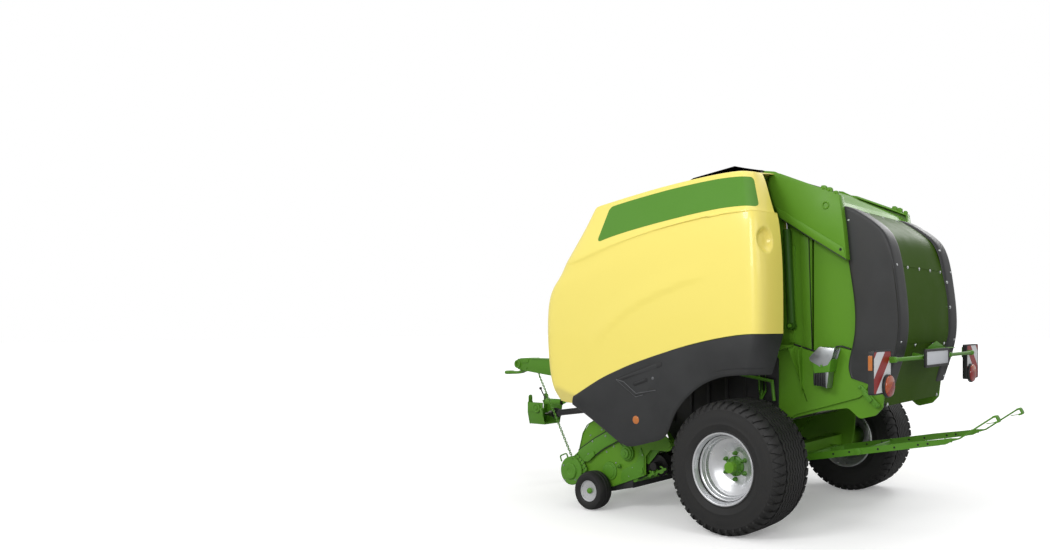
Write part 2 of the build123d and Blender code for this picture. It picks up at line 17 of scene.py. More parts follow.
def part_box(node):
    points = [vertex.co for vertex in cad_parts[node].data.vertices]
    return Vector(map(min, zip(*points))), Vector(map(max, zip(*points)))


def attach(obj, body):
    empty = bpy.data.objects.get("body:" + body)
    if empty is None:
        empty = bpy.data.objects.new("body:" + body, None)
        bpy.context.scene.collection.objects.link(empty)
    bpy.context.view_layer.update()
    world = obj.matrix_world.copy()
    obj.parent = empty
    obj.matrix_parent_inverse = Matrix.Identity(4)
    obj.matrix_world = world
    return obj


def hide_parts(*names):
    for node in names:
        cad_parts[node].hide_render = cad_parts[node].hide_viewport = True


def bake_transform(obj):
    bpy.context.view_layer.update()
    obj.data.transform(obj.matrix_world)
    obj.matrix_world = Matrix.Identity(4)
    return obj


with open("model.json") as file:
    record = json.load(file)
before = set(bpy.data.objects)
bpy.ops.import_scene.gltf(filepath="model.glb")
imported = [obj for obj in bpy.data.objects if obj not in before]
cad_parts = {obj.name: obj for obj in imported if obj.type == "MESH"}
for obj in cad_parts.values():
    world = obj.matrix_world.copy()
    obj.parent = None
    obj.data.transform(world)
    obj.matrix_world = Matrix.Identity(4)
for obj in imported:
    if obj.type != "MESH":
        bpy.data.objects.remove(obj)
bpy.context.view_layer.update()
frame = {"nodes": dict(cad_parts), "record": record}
low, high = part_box("axle")
AXLE_Y = (low.y + high.y) / 2

# %% [markdown]
# ## Camera
# A normal lens from behind the left wheel, at eye height. The frame is wide, so
# the picture is shifted sideways instead of turning the camera, and the upright
# lines of the machine stay upright.

# %% Camera
LENS_MM, SENSOR_MM = 29.14, 36
SHIFT_ACROSS, SHIFT_UP = -0.2505, 0.0452
EYE = (6.686, AXLE_Y + 3.775, 1.666)
HEADING = math.radians(120.54)

def placed(name, data):
    """A new object in the scene."""
    made = bpy.data.objects.new(name, data)
    bpy.context.scene.collection.objects.link(made)
    return made

cam_data = bpy.data.cameras.new("camera")
cam_data.lens, cam_data.sensor_width = LENS_MM, SENSOR_MM
cam_data.shift_x, cam_data.shift_y = SHIFT_ACROSS, SHIFT_UP
camera = placed("camera", cam_data)
camera.location = EYE
camera.rotation_euler = (math.radians(90), 0, HEADING)
bpy.context.scene.camera = camera
print("camera at", [round(c, 3) for c in EYE])

# %% [markdown]
# ## Colour and a helper for shader nodes
# Paint colours are written as sRGB hex, as a paint maker gives them. Blender
# works in linear light, so one function turns them. One more adds a shader node
# with its settings and links, which keeps each finish short to read. A finish
# also notes the material slot it belongs to.

# %% Helpers for materials
def linear(colour, alpha=1.0):
    parts = [int(colour[i:i + 2], 16) / 255 for i in (1, 3, 5)]
    return tuple(c / 12.92 if c <= 0.04045 else ((c + 0.055) / 1.055) ** 2.4 for c in parts) + (alpha,)

def add(tree, kind, inputs=None, **settings):
    made = tree.nodes.new(kind)
    for key, value in settings.items():
        setattr(made, key, value)
    for key, value in (inputs or {}).items():
        if isinstance(value, bpy.types.NodeSocket):
            tree.links.new(value, made.inputs[key])
        else:
            made.inputs[key].default_value = value
    return made

SLOT_OF = {}

def new_finish(name, slot, **sockets):
    finish = bpy.data.materials.new(name)
    SLOT_OF[finish.name] = slot
    finish.use_nodes = True
    shader = finish.node_tree.nodes["Principled BSDF"]
    for key, value in sockets.items():
        shader.inputs[key.replace("_", " ")].default_value = value
    return finish, finish.node_tree, shader

def maths(tree, operation, one, two):
    return add(tree, "ShaderNodeMath", {0: one, 1: two}, operation=operation)

def ranged(tree, value, low, high, out_low, out_high):
    return add(tree, "ShaderNodeMapRange", {"Value": value, "From Min": low, "From Max": high,
                                            "To Min": out_low, "To Max": out_high})

def object_place(tree):
    return add(tree, "ShaderNodeTexCoord").outputs["Object"]

def noise(tree, place, size, detail, **rest):
    return add(tree, "ShaderNodeTexNoise", {"Vector": place, "Scale": 1 / size, "Detail": detail, **rest})

def colour_between(tree, shader, share, one, two):
    mix = add(tree, "ShaderNodeMix", {0: share, 6: one, 7: two}, data_type="RGBA")
    tree.links.new(mix.outputs[2], shader.inputs["Base Color"])

def uneven_gloss(tree, shader, value, low, high, gloss, less, more):
    rough = ranged(tree, value, low, high, gloss * less, min(1.0, gloss * more))
    tree.links.new(rough.outputs[0], shader.inputs["Roughness"])

def bumped(tree, shader, height, strength, distance):
    bump = add(tree, "ShaderNodeBump", {"Height": height, "Strength": strength, "Distance": distance})
    tree.links.new(bump.outputs[0], shader.inputs["Normal"])

# %% [markdown]
# ## Studio
# A sheet of white paper under a white tent, and five soft boxes: two on the side
# that shows, one overhead, one on the far side and a weak one behind. The floor and
# the backdrop are made white for the camera by their own colour, so no lamp has to
# burn them out. Reflections see the tent dimmer than the camera does, or the
# darkest covers would turn grey.

# %% World, floor and lamps
def ray_is_seen(tree):
    path = add(tree, "ShaderNodeLightPath")
    seen = maths(tree, "MAXIMUM", path.outputs["Is Camera Ray"], path.outputs["Is Transmission Ray"])
    return path, seen

TENT_LIGHT, TENT_IN_MIRRORS = 0.6, 0.25
PAPER, PAPER_AS_SEEN = (0.52, 0.52, 0.52, 1), (0.9, 0.9, 0.9, 1)
world = bpy.data.worlds.new("white_tent")
bpy.context.scene.world = world
world.use_nodes = True
tree = world.node_tree
path, seen = ray_is_seen(tree)
background = tree.nodes["Background"]
background.inputs["Color"].default_value = (1, 1, 1, 1)
mirrored = maths(tree, "MULTIPLY", path.outputs["Is Glossy Ray"], TENT_IN_MIRRORS)
seen_or_mirrored = maths(tree, "MAXIMUM", seen.outputs[0], mirrored.outputs[0])
strength = ranged(tree, seen_or_mirrored.outputs[0], 0.0, 1.0, TENT_LIGHT, 1.0)
tree.links.new(strength.outputs[0], background.inputs["Strength"])

paper, tree, shader = new_finish("white_paper_floor", None, Roughness=0.9, Base_Color=PAPER)
shader.inputs["Specular IOR Level"].default_value = 0.1
path, seen = ray_is_seen(tree)
from_middle = add(tree, "ShaderNodeVectorMath", {0: object_place(tree)}, operation="LENGTH")
far_off = ranged(tree, from_middle.outputs["Value"], 4.0, 14.0, 0.22, 0.66)
glow = maths(tree, "MULTIPLY", seen.outputs[0], far_off.outputs[0])
colour_between(tree, shader, seen.outputs[0], PAPER, PAPER_AS_SEEN)
shader.inputs["Emission Color"].default_value = (1, 1, 1, 1)
tree.links.new(glow.outputs[0], shader.inputs["Emission Strength"])

bpy.ops.mesh.primitive_plane_add(size=160, location=(0, 0, 0))
floor = bpy.context.object
floor.name = "floor"
floor.data.materials.append(paper)

def soft_box(name, place, aim, size, watts):
    lamp = bpy.data.lights.new(name, "AREA")
    lamp.shape = "RECTANGLE"
    lamp.size, lamp.size_y = size
    lamp.energy = watts
    stand = placed(name, lamp)
    stand.location = place
    stand.rotation_euler = (Vector(aim) - Vector(place)).to_track_quat("-Z", "Y").to_euler()

soft_box("key", (9.3, AXLE_Y - 2.2, 6.6), (0, AXLE_Y, 1.4), (3.5, 3), 340)
soft_box("side_fill", (10, AXLE_Y + 4.0, 4.6), (0, AXLE_Y, 1.6), (4, 3), 285)
soft_box("overhead", (0, AXLE_Y, 9), (0, AXLE_Y, 0), (7, 8), 165)
soft_box("far_side", (-7, AXLE_Y + 0.5, 6.2), (0, AXLE_Y + 0.8, 1.8), (2.5, 3.5), 170)
soft_box("behind", (3, AXLE_Y + 9, 4.5), (0, AXLE_Y, 1.5), (5, 3), 80)
bpy.context.scene.view_settings.view_transform = "Standard"

# %% [markdown]
# ## Paint
# Farm machines are sprayed with enamel. A thick coat levels out almost flat but
# keeps a faint orange peel, it is a little paler where dust has settled, and its
# gloss breaks up where hands and straw have rubbed it. One function makes each
# coat from its colour and gloss. Real orange peel is 1 to 3 mm across, which is
# too fine to show here, so it is drawn at about 12 mm.

# %% Enamel coats
ORANGE_PEEL = 0.012
CLOUD = 0.45

def painted(name, colour, gloss, peel=0.1, dust="#B9B29C", dusty=0.1, coat=0.0, shine=0.5, rubs=1.0,
            slot="green_paint"):
    finish, tree, shader = new_finish(name, slot, Roughness=gloss, IOR=1.5, Coat_Weight=coat, Coat_Roughness=0.06,
                                      Specular_IOR_Level=shine)
    place = object_place(tree)
    cloud = noise(tree, place, CLOUD, 5.0, Roughness=0.62).outputs["Fac"]
    height = add(tree, "ShaderNodeSeparateXYZ", {0: place})
    low_down = ranged(tree, height.outputs["Z"], 0.1, 1.5, 1.0, 0.25)
    patchy = ranged(tree, cloud, 0.42, 0.72, 0.0, 1.0)
    settled = maths(tree, "MULTIPLY", patchy.outputs[0], low_down.outputs[0])
    amount = maths(tree, "MULTIPLY", settled.outputs[0], dusty)
    colour_between(tree, shader, amount.outputs[0], linear(colour), linear(dust))
    uneven_gloss(tree, shader, cloud, 0.3, 0.75, gloss, 1 - 0.15 * rubs, 1 + 0.35 * rubs)
    skin = noise(tree, place, ORANGE_PEEL, 1.0)
    bumped(tree, shader, skin.outputs["Fac"], peel, 0.0006)
    return finish

wall_green = painted("green_enamel_on_steel", "#588A20", 0.42, dusty=0.03, shine=0.22)
panel_green = painted("gloss_green_enamel", "#385214", 0.4, peel=0.03, dusty=0.0, shine=0.03,
                      slot="gloss_green_panel")
hood_yellow = painted("yellow_lacquer_on_moulded_panel", "#EEDD6E", 0.3, peel=0.04, dusty=0.0, coat=0.3,
                      rubs=0.15, slot="yellow_plastic")
band_green = painted("green_film", "#4F8426", 0.3, peel=0.02, dusty=0.02, shine=0.3)
tool_green = painted("green_enamel_small_parts", "#4F8420", 0.4, dusty=0.04, shine=0.3)

# %% [markdown]
# ## Mouldings and rubber
# The dark covers are moulded plastic with a fine grained skin, which spreads the
# light into a broad dull sheen. Tyre rubber is duller, and a little brown in patches
# where soil has dried on it.

# %% Moulded and rubber finishes
GRAIN = 0.004

def moulded(name, colour, gloss, worn, grain=GRAIN, depth=0.25, patch=0.35, slot="charcoal_plastic"):
    finish, tree, shader = new_finish(name, slot, Roughness=gloss, IOR=1.49)
    place = object_place(tree)
    cloud = noise(tree, place, patch, 6.0, Roughness=0.6).outputs["Fac"]
    share = ranged(tree, cloud, 0.38, 0.75, 0.0, 1.0)
    colour_between(tree, shader, share.outputs[0], linear(colour), linear(worn))
    uneven_gloss(tree, shader, cloud, 0.3, 0.7, gloss, 0.9, 1.2)
    cells = add(tree, "ShaderNodeTexVoronoi", {"Vector": place, "Scale": 1 / grain}, feature="SMOOTH_F1")
    bumped(tree, shader, cells.outputs["Distance"], depth, 0.0008)
    return finish

charcoal = moulded("charcoal_grained_moulding", "#1C1D1E", 0.48, "#272829")
black_moulding = moulded("black_moulding", "#1B1B1C", 0.42, "#232324")
tyre_rubber = moulded("tyre_rubber", "#0E0E0E", 0.64, "#1C1B1A", grain=0.006, depth=0.35, patch=0.12,
    slot="tyre_rubber")
belt_rubber = moulded("rubber_on_woven_belt", "#2A2A2A", 0.66, "#3A3733", grain=0.009, depth=0.6, patch=0.25)

# %% [markdown]
# ## Metals
# The rims are sprayed with silver lacquer: metal flake under a soft gloss. Zinc
# plate is blotchy and half dull, the rod is hard chrome and mirror bright, and the
# rollers and tines are bare steel, dark and polished by crop.

# %% Metal finishes
def metallic(name, colour, other, gloss, metal=1.0, patch=0.06, fine=0.003, bumps=0.05, slot="zinc_steel"):
    finish, tree, shader = new_finish(name, slot, Metallic=metal, Roughness=gloss)
    place = object_place(tree)
    blotch = noise(tree, place, patch, 4.0).outputs["Fac"]
    colour_between(tree, shader, blotch, linear(colour), linear(other))
    uneven_gloss(tree, shader, blotch, 0.3, 0.7, gloss, 0.75, 1.3)
    flake = noise(tree, place, fine, 2.0)
    bumped(tree, shader, flake.outputs["Fac"], bumps, 0.0005)
    return finish

rim_silver = metallic("silver_lacquer_on_rim", "#D3D4D6", "#C4C5C8", 0.33, metal=0.78, slot="silver_rim")
zinc = metallic("zinc_plated_steel", "#B9BCBE", "#9DA1A3", 0.38)
bright_bolt = metallic("bright_zinc_bolt", "#D9DBDC", "#C3C6C8", 0.22)
chrome = metallic("hard_chrome_rod", "#E6E7E9", "#DADCDE", 0.07, bumps=0.01)
bare_steel = metallic("crop_polished_steel", "#8C8B88", "#6E6A64", 0.36, patch=0.15, slot="bare_steel")
# Blackened steel is a real finish on the crank, screws and floor; on holes and augers its near-black is painted
# shade.
dark_steel = metallic("blackened_steel_and_painted_shade", "#3A3A3A", "#2B2A29", 0.45, metal=0.8, slot="bare_steel")
print("finishes:", len(bpy.data.materials))

# %% [markdown]
# ## The bench
# Nearly everything here is plate, tube or a turned part, so a few bmesh helpers
# cover it: a slab cut to an outline, a profile turned about an axis, and a bar of
# any section swept along a path. Lengths are in metres and Y is counted from the
# axle, as a fitter would measure them. `make` turns the drawing into a finished
# piece: it moves it to the axle, rounds its edges, gives it paint and hangs it on
# the body that carries it. With `mirror` it also makes the right-hand one, on the
# right-hand body. `for_both_hands` does the same for a pair on one body: it takes a
# function that draws the left one, and the function's name is the name of the piece.

# %% Shapes
AXES = {"x": (1, 2, 0), "y": (0, 2, 1), "z": (0, 1, 2)}

def spot(axis, a, b, along):
    place = [0, 0, 0]
    first, second, third = AXES[axis]
    place[first], place[second], place[third] = a, b, along
    return Vector(place)

def slab(bm, axis, outline, start, stop):
    low = [bm.verts.new(spot(axis, a, b, start)) for a, b in outline]
    high = [bm.verts.new(spot(axis, a, b, stop)) for a, b in outline]
    sides = [(low[i - 1], low[i], high[i], high[i - 1]) for i in range(len(low))]
    faces = [bm.faces.new(corners) for corners in [low, high] + sides]
    bmesh.ops.recalc_face_normals(bm, faces=faces)

def rectangle(a0, b0, a1, b1):
    return [(a0, b0), (a1, b0), (a1, b1), (a0, b1)]

def block(bm, low, high):
    (x0, y0, z0), (x1, y1, z1) = low, high
    slab(bm, "z", rectangle(x0, y0, x1, y1), z0, z1)

def join_rings(bm, rings, closed=False, capped=True):
    """Walls between rings of equal length; closed joins the last ring to the first."""
    for one, two in zip(rings, rings[1:] + rings[:1] if closed else rings[1:]):
        for k in range(len(one)):
            bm.faces.new((one[k - 1], one[k], two[k], two[k - 1]))
    if capped and not closed:
        bm.faces.new(rings[0])
        bm.faces.new(rings[-1])
    bmesh.ops.recalc_face_normals(bm, faces=bm.faces)

def turned(bm, profile, centre, axis="x", steps=48, closed=False):
    """profile is [(radius, distance along the axis)]; a radius of 0 closes a pole."""
    first, second, third = AXES[axis]
    rings = []
    for radius, along in profile:
        ring = []
        for k in range(steps if radius > 0 else 1):
            turn = math.tau * k / steps
            place = Vector(centre)
            place[first] += radius * math.cos(turn)
            place[second] += radius * math.sin(turn)
            place[third] += along
            ring.append(bm.verts.new(place))
        rings.append(ring)
    faces = []
    pairs = list(zip(rings, rings[1:])) + ([(rings[-1], rings[0])] if closed else [])
    for one, two in pairs:
        for k in range(steps):
            n = (k + 1) % steps
            corners = [one[k % len(one)], one[n % len(one)], two[n % len(two)], two[k % len(two)]]
            corners = list(dict.fromkeys(corners))
            if len(corners) > 2:
                faces.append(bm.faces.new(corners))
    if not closed:
        for ring in (rings[0], rings[-1]):
            if len(ring) > 1:
                faces.append(bm.faces.new(ring))
    bmesh.ops.recalc_face_normals(bm, faces=faces)

def rod(bm, radius, start, stop, centre, axis="x", steps=48):
    turned(bm, [(0, start), (radius, start), (radius, stop), (0, stop)], centre, axis, steps)

def tube(bm, inner, outer, start, stop, centre, axis="x", steps=48):
    turned(bm, [(inner, start), (outer, start), (outer, stop), (inner, stop)], centre, axis, steps, closed=True)

def circle(radius, sides=12):
    turns = [math.tau * k / sides for k in range(sides)]
    return [(radius * math.cos(turn), radius * math.sin(turn)) for turn in turns]

def bar(bm, path, section, up=(0, 0, 1), loop=False):
    """section is [(sideways, up)], carried along path without twist."""
    path = [Vector(p) for p in path]
    rings = []
    for i, place in enumerate(path):
        before = path[i - 1] if i or loop else None
        after = path[(i + 1) % len(path)] if i + 1 < len(path) or loop else None
        ways = []
        if before:
            ways.append((place - before).normalized())
        if after:
            ways.append((after - place).normalized())
        ahead = sum(ways, Vector()).normalized()
        spread = 1 / max(0.4, ahead.dot(ways[0]))
        side = ahead.cross(Vector(up)).normalized()
        rise = side.cross(ahead).normalized()
        bend = ways[-1] - ways[0]
        bend = bend - ahead * bend.dot(ahead)
        ring = []
        for a, b in section:
            out = side * a + rise * b
            if bend.length > 1e-4:
                inward = bend.normalized()
                out += inward * out.dot(inward) * (spread - 1)
            ring.append(bm.verts.new(place + out))
        rings.append(ring)
    faces = []
    pairs = list(zip(rings, rings[1:])) + ([(rings[-1], rings[0])] if loop else [])
    for one, two in pairs:
        for k in range(len(section)):
            n = (k + 1) % len(section)
            faces.append(bm.faces.new((one[k], one[n], two[n], two[k])))
    if not loop:
        faces += [bm.faces.new(rings[0]), bm.faces.new(rings[-1])]
    bmesh.ops.recalc_face_normals(bm, faces=faces)

def flat(width, thick):
    return rectangle(-width / 2, -thick / 2, width / 2, thick / 2)

def rounded(points, radius, steps=5):
    """Corners of a closed outline rounded off; radius is one number or one per corner."""
    out = []
    for i, here in enumerate(points):
        r = radius[i] if isinstance(radius, (list, tuple)) else radius
        here, back, on = Vector(here), Vector(points[i - 1]), Vector(points[(i + 1) % len(points)])
        one, two = (back - here), (on - here)
        reach = 0
        if r:
            reach = min(r / math.tan(max(0.05, one.angle(two) / 2)), one.length * 0.49, two.length * 0.49)
        if reach < 1e-5:
            out.append(tuple(here))
            continue
        start, stop = here + one.normalized() * reach, here + two.normalized() * reach
        for k in range(steps + 1):
            t = k / steps
            out.append(tuple(start * (1 - t) ** 2 + here * 2 * t * (1 - t) + stop * t * t))
    return out

def plate(bm, outline, radius, inner, outer):
    """A plate drawn in the side view with its corners rounded, from X inner to X outer."""
    slab(bm, "x", rounded(outline, radius), inner, outer)

def side_bar(bm, x, line, section):
    """A bar that stays in one upright plane; section is [(in and out, up)]."""
    bar(bm, [(x, y, z) for y, z in line], section, up=(1, 0, 0))

# %% From a drawing to a finished piece
TO_ROW = Matrix.Translation((0, AXLE_Y, 0))
MIRROR = Matrix.Scale(-1, 4, (1, 0, 0))
made_triangles = {}

def other_hand(word):
    return word.replace("left", "right")

def round_edges(piece, width, segments=2, angle=35):
    edge = piece.modifiers.new("edge_radius", "BEVEL")
    edge.width, edge.segments = width, segments
    edge.limit_method, edge.angle_limit = "ANGLE", math.radians(angle)

def flatten_modifiers(piece):
    shaped = bpy.data.meshes.new_from_object(piece.evaluated_get(bpy.context.evaluated_depsgraph_get()))
    piece.modifiers.clear()
    piece.data = shaped

def hang(piece, body, stands_for=()):
    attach(piece, body)
    if stands_for:
        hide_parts(*stands_for)
    made_triangles[piece.name] = sum(len(f.vertices) - 2 for f in piece.data.polygons)
    print(piece.name, "rides on", body + ", triangles:", made_triangles[piece.name])

def make(name, drawing, finish, body, slot=None, edge=0.0, segments=2, crease=35, thick=0.0, stands_for=(),
         mirror=False):
    slot = slot or SLOT_OF[finish.name]
    if isinstance(drawing, bmesh.types.BMesh):
        bmesh.ops.remove_doubles(drawing, verts=drawing.verts, dist=0.00002)
        bm, drawing = drawing, bpy.data.meshes.new(name)
        bm.to_mesh(drawing)
        bm.free()
    hands = [(name, body, stands_for, False)]
    if mirror:
        hands.append((other_hand(name), other_hand(body), [other_hand(n) for n in stands_for], True))
    for title, carrier, nodes, turned_over in hands:
        mesh = drawing.copy()
        mesh.transform(TO_ROW @ MIRROR if turned_over else TO_ROW)
        if turned_over:
            mesh.flip_normals()
        piece = placed(title, mesh)
        mesh.materials.clear()
        mesh.materials.append(finish)
        if thick:
            wall = piece.modifiers.new("wall", "SOLIDIFY")
            wall.thickness, wall.offset = thick, -1
        if edge:
            round_edges(piece, edge, segments)
        if thick or edge:
            flatten_modifiers(piece)
        piece.data.shade_smooth()
        piece.data.set_sharp_from_angle(angle=math.radians(crease))
        hang(piece, carrier, nodes)

def both_hands(name, draw, finish, body, **how):
    """For a pair of pieces that ride on the same body; draw(bm) draws the left one."""
    for side, turned_over in (("left", False), ("right", True)):
        bm = bmesh.new()
        draw(bm)
        if turned_over:
            bmesh.ops.scale(bm, vec=(-1, 1, 1), verts=bm.verts)
            bmesh.ops.reverse_faces(bm, faces=bm.faces)
        make(side + "_" + name, bm, finish, body, **how)

def for_both_hands(finish, body, **how):
    return lambda draw: both_hands(draw.__name__, draw, finish, body, **how)

# %% [markdown]
# ## Things that repeat
# Tread blocks, wheel nuts, screws, tines and chain links are each drawn once and
# repeated by Geometry Nodes. Two small trees do it all. The first turns copies
# about the X axis, for wheels and rollers. The second puts a copy on every point
# and turns it to the two directions stored there. Both end in real geometry with
# its material, which is then taken off as a plain mesh.

# %% Two trees for copies
def new_tree(name, inputs):
    tree = bpy.data.node_groups.new(name, "GeometryNodeTree")
    tree.interface.new_socket("Geometry", in_out="INPUT", socket_type="NodeSocketGeometry")
    for title, kind in inputs:
        tree.interface.new_socket(title, in_out="INPUT", socket_type=kind)
    tree.interface.new_socket("Geometry", in_out="OUTPUT", socket_type="NodeSocketGeometry")
    return tree, add(tree, "NodeGroupInput").outputs

def end_tree(tree, instances, finish):
    real = add(tree, "GeometryNodeRealizeInstances", {0: instances.outputs[0]})
    coloured = add(tree, "GeometryNodeSetMaterial", {"Geometry": real.outputs[0], "Material": finish})
    add(tree, "NodeGroupOutput", {0: coloured.outputs[0]})
    return tree

def ring_tree():
    tree, given = new_tree("copies_about_the_axle", [
        ("Item", "NodeSocketObject"), ("Count", "NodeSocketInt"), ("Finish", "NodeSocketMaterial")])
    item = add(tree, "GeometryNodeObjectInfo", {"Object": given["Item"]})
    points = add(tree, "GeometryNodePoints", {"Count": given["Count"]})
    index = add(tree, "GeometryNodeInputIndex")
    share = maths(tree, "DIVIDE", index.outputs[0], given["Count"])
    turn = maths(tree, "MULTIPLY", share.outputs[0], math.tau)
    about_x = add(tree, "ShaderNodeCombineXYZ", {"X": turn.outputs[0]})
    copies = add(tree, "GeometryNodeInstanceOnPoints", {
        "Points": points.outputs[0], "Instance": item.outputs["Geometry"], "Rotation": about_x.outputs[0]})
    return end_tree(tree, copies, given["Finish"])

def spot_tree():
    tree, given = new_tree("a_copy_on_every_point", [
        ("Item", "NodeSocketObject"), ("Size", "NodeSocketFloat"), ("Finish", "NodeSocketMaterial")])
    item = add(tree, "GeometryNodeObjectInfo", {"Object": given["Item"]})
    facing = add(tree, "GeometryNodeInputNamedAttribute", {"Name": "facing"}, data_type="FLOAT_VECTOR")
    along = add(tree, "GeometryNodeInputNamedAttribute", {"Name": "along"}, data_type="FLOAT_VECTOR")
    stand = add(tree, "FunctionNodeAlignRotationToVector", {"Vector": facing.outputs[0]}, axis="Z")
    turn = add(tree, "FunctionNodeAlignRotationToVector", {"Rotation": stand.outputs[0], "Vector": along.outputs[0]},
               axis="X", pivot_axis="Z")
    copies = add(tree, "GeometryNodeInstanceOnPoints", {
        "Points": given["Geometry"], "Instance": item.outputs["Geometry"],
        "Rotation": turn.outputs[0], "Scale": given["Size"]})
    return end_tree(tree, copies, given["Finish"])

RING, SPOTS = ring_tree(), spot_tree()
print("trees:", [tree.name for tree in bpy.data.node_groups])

def grown(tree, base, settings):
    """Runs a tree on a base mesh and returns the result as a plain mesh."""
    holder = placed("holder", base)
    modifier = holder.modifiers.new("copies", "NODES")
    modifier.node_group = tree
    for socket in tree.interface.items_tree:
        if socket.in_out == "INPUT" and socket.name in settings:
            modifier[socket.identifier] = settings[socket.name]
    mesh = bpy.data.meshes.new_from_object(holder.evaluated_get(bpy.context.evaluated_depsgraph_get()))
    bpy.data.objects.remove(holder)
    return mesh

def pattern_of(bm):
    drawing = bpy.data.meshes.new("pattern")
    bm.to_mesh(drawing)
    bm.free()
    return placed("pattern", drawing)

def used_up(pattern, mesh):
    bpy.data.objects.remove(pattern)
    return mesh

def ring_of(bm, count, finish, centre):
    pattern = pattern_of(bm)
    mesh = grown(RING, bpy.data.meshes.new("none"), {"Item": pattern, "Count": count, "Finish": finish})
    mesh.transform(Matrix.Translation(centre))
    return used_up(pattern, mesh)

def copies_on(bm, spots, finish, size=1.0):
    """spots is [(place, facing, along)]: facing is the copy's own Z, along its X."""
    base = bpy.data.meshes.new("spots")
    base.from_pydata([s[0] for s in spots], [], [])
    for k, name in ((1, "facing"), (2, "along")):
        field = base.attributes.new(name, "FLOAT_VECTOR", "POINT")
        field.data.foreach_set("vector", [c for s in spots for c in s[k]])
    pattern = pattern_of(bm)
    return used_up(pattern, grown(SPOTS, base, {"Item": pattern, "Size": size, "Finish": finish}))

def make_copies(name, bm, spots, finish, body, size=1.0, **how):
    make(name, copies_on(bm, spots, finish, size), finish, body, **how)

def joined(name, *meshes):
    bm = bmesh.new()
    for mesh in meshes:
        bm.from_mesh(mesh)
    out = bpy.data.meshes.new(name)
    bm.to_mesh(out)
    bm.free()
    return out

# %% [markdown]
# A hexagon screw is a washer and a six-sided head with its top corners turned off.
# It has only a few dozen faces, for there are hundreds.

# %% The screw
def hex_screw(size=0.01):
    bm = bmesh.new()
    rod(bm, size * 1.5, -0.002, 0.002, (0, 0, 0), "z", 12)
    turned(bm, [(0, 0.001), (size, 0.001), (size, 0.0055), (size * 0.82, 0.0075), (0, 0.0075)], (0, 0, 0), "z", 6)
    return bm

# %% [markdown]
# ## The steel that comes with the frame
# Plates and tubes already have their true shape. They get their finish, and a
# small bevel, because no cut or bent steel edge is perfectly sharp and it is the
# bevel that catches the light. The triangles are merged into flat faces first, so
# that the bevel runs along real edges only.

# %% Finish and soften the CAD nodes
FINISH_OF_SLOT = {
    "tyre_rubber": tyre_rubber, "small_tyre": tyre_rubber, "silver_rim": rim_silver,
    "green_paint": wall_green, "gloss_green_panel": panel_green, "bare_steel": bare_steel,
    "polished_rod": chrome, "belt_rubber": belt_rubber, "yellow_plastic": hood_yellow,
    "charcoal_plastic": charcoal, "zinc_steel": zinc,
}

slot_of_node = {}
for row in frame["record"]["subparts"]:
    slot_of_node[row["node"]] = row["material_slot"]

def soften(piece, width=0.003, angle=30):
    weld = piece.modifiers.new("merge", "WELD")
    weld.merge_threshold = 0.00002
    flat = piece.modifiers.new("flat_faces", "DECIMATE")
    flat.decimate_type = "DISSOLVE"
    flat.angle_limit = math.radians(0.5)
    edge = piece.modifiers.new("edge_radius", "BEVEL")
    edge.width = width
    edge.segments = 2
    edge.limit_method = "ANGLE"
    edge.angle_limit = math.radians(angle)
    edge.use_clamp_overlap = True
    edge.harden_normals = False
    return piece

for name, piece in frame["nodes"].items():
    finish = FINISH_OF_SLOT[slot_of_node[name]]
    piece.data.materials.clear()
    piece.data.materials.append(finish)
    soften(piece)
print("softened nodes:", len(frame["nodes"]))

# %% [markdown]
# ## Side hoods
# Each side hood is one large moulded panel: it starts at a hinge beside the roof,
# comes down over a soft shoulder, wraps round the nose and folds in behind. Such
# a skin could be box modelled under a subdivision surface. Here it is a spline
# skin over a cage of given points instead, because then every place on it has a number
# along and a number up, and the green film and the pressed-in shapes can be laid
# on it by those numbers.

# %% A spline skin over a cage
def spline_rows(cage, at):
    """Cubic B-spline through a list of point rows, evaluated at numbers from 0 to len - 1."""
    cage = np.asarray(cage, float)
    cage = np.concatenate([[2 * cage[0] - cage[1]], cage, [2 * cage[-1] - cage[-2]]])
    at = np.clip(np.asarray(at, float), 0, len(cage) - 3 - 1e-9)
    k = at.astype(int)
    t = (at - k).reshape((-1,) + (1,) * (cage.ndim - 1))
    return ((1 - t) ** 3 * cage[k] + (3 * t ** 3 - 6 * t ** 2 + 4) * cage[k + 1]
            + (-3 * t ** 3 + 3 * t ** 2 + 3 * t + 1) * cage[k + 2] + t ** 3 * cage[k + 3]) / 6

def skin(cage, ups, alongs):
    across = spline_rows(cage, ups)
    return np.swapaxes(spline_rows(np.swapaxes(across, 0, 1), alongs), 0, 1)

def skin_normals(grid):
    up, along = np.gradient(grid, axis=0), np.gradient(grid, axis=1)
    normal = np.cross(up, along)
    return normal / np.maximum(1e-9, np.linalg.norm(normal, axis=2, keepdims=True))

def follow(points, y):
    ys, zs = zip(*sorted(points))
    return float(np.interp(y, ys, zs))

def steps_between(marks):
    """marks is [(number, steps to the next)], which gives closer rows where the shape is tight."""
    out = []
    for (here, count), (there, _) in zip(marks, marks[1:]):
        out += [here + (there - here) * k / count for k in range(count)]
    return out + [marks[-1][0]]

def grid_mesh(grid):
    bm = bmesh.new()
    verts = [[bm.verts.new(Vector(p)) for p in row] for row in grid]
    for i in range(len(verts) - 1):
        for j in range(len(verts[0]) - 1):
            bm.faces.new((verts[i][j], verts[i + 1][j], verts[i + 1][j + 1], verts[i][j + 1]))
    return bm

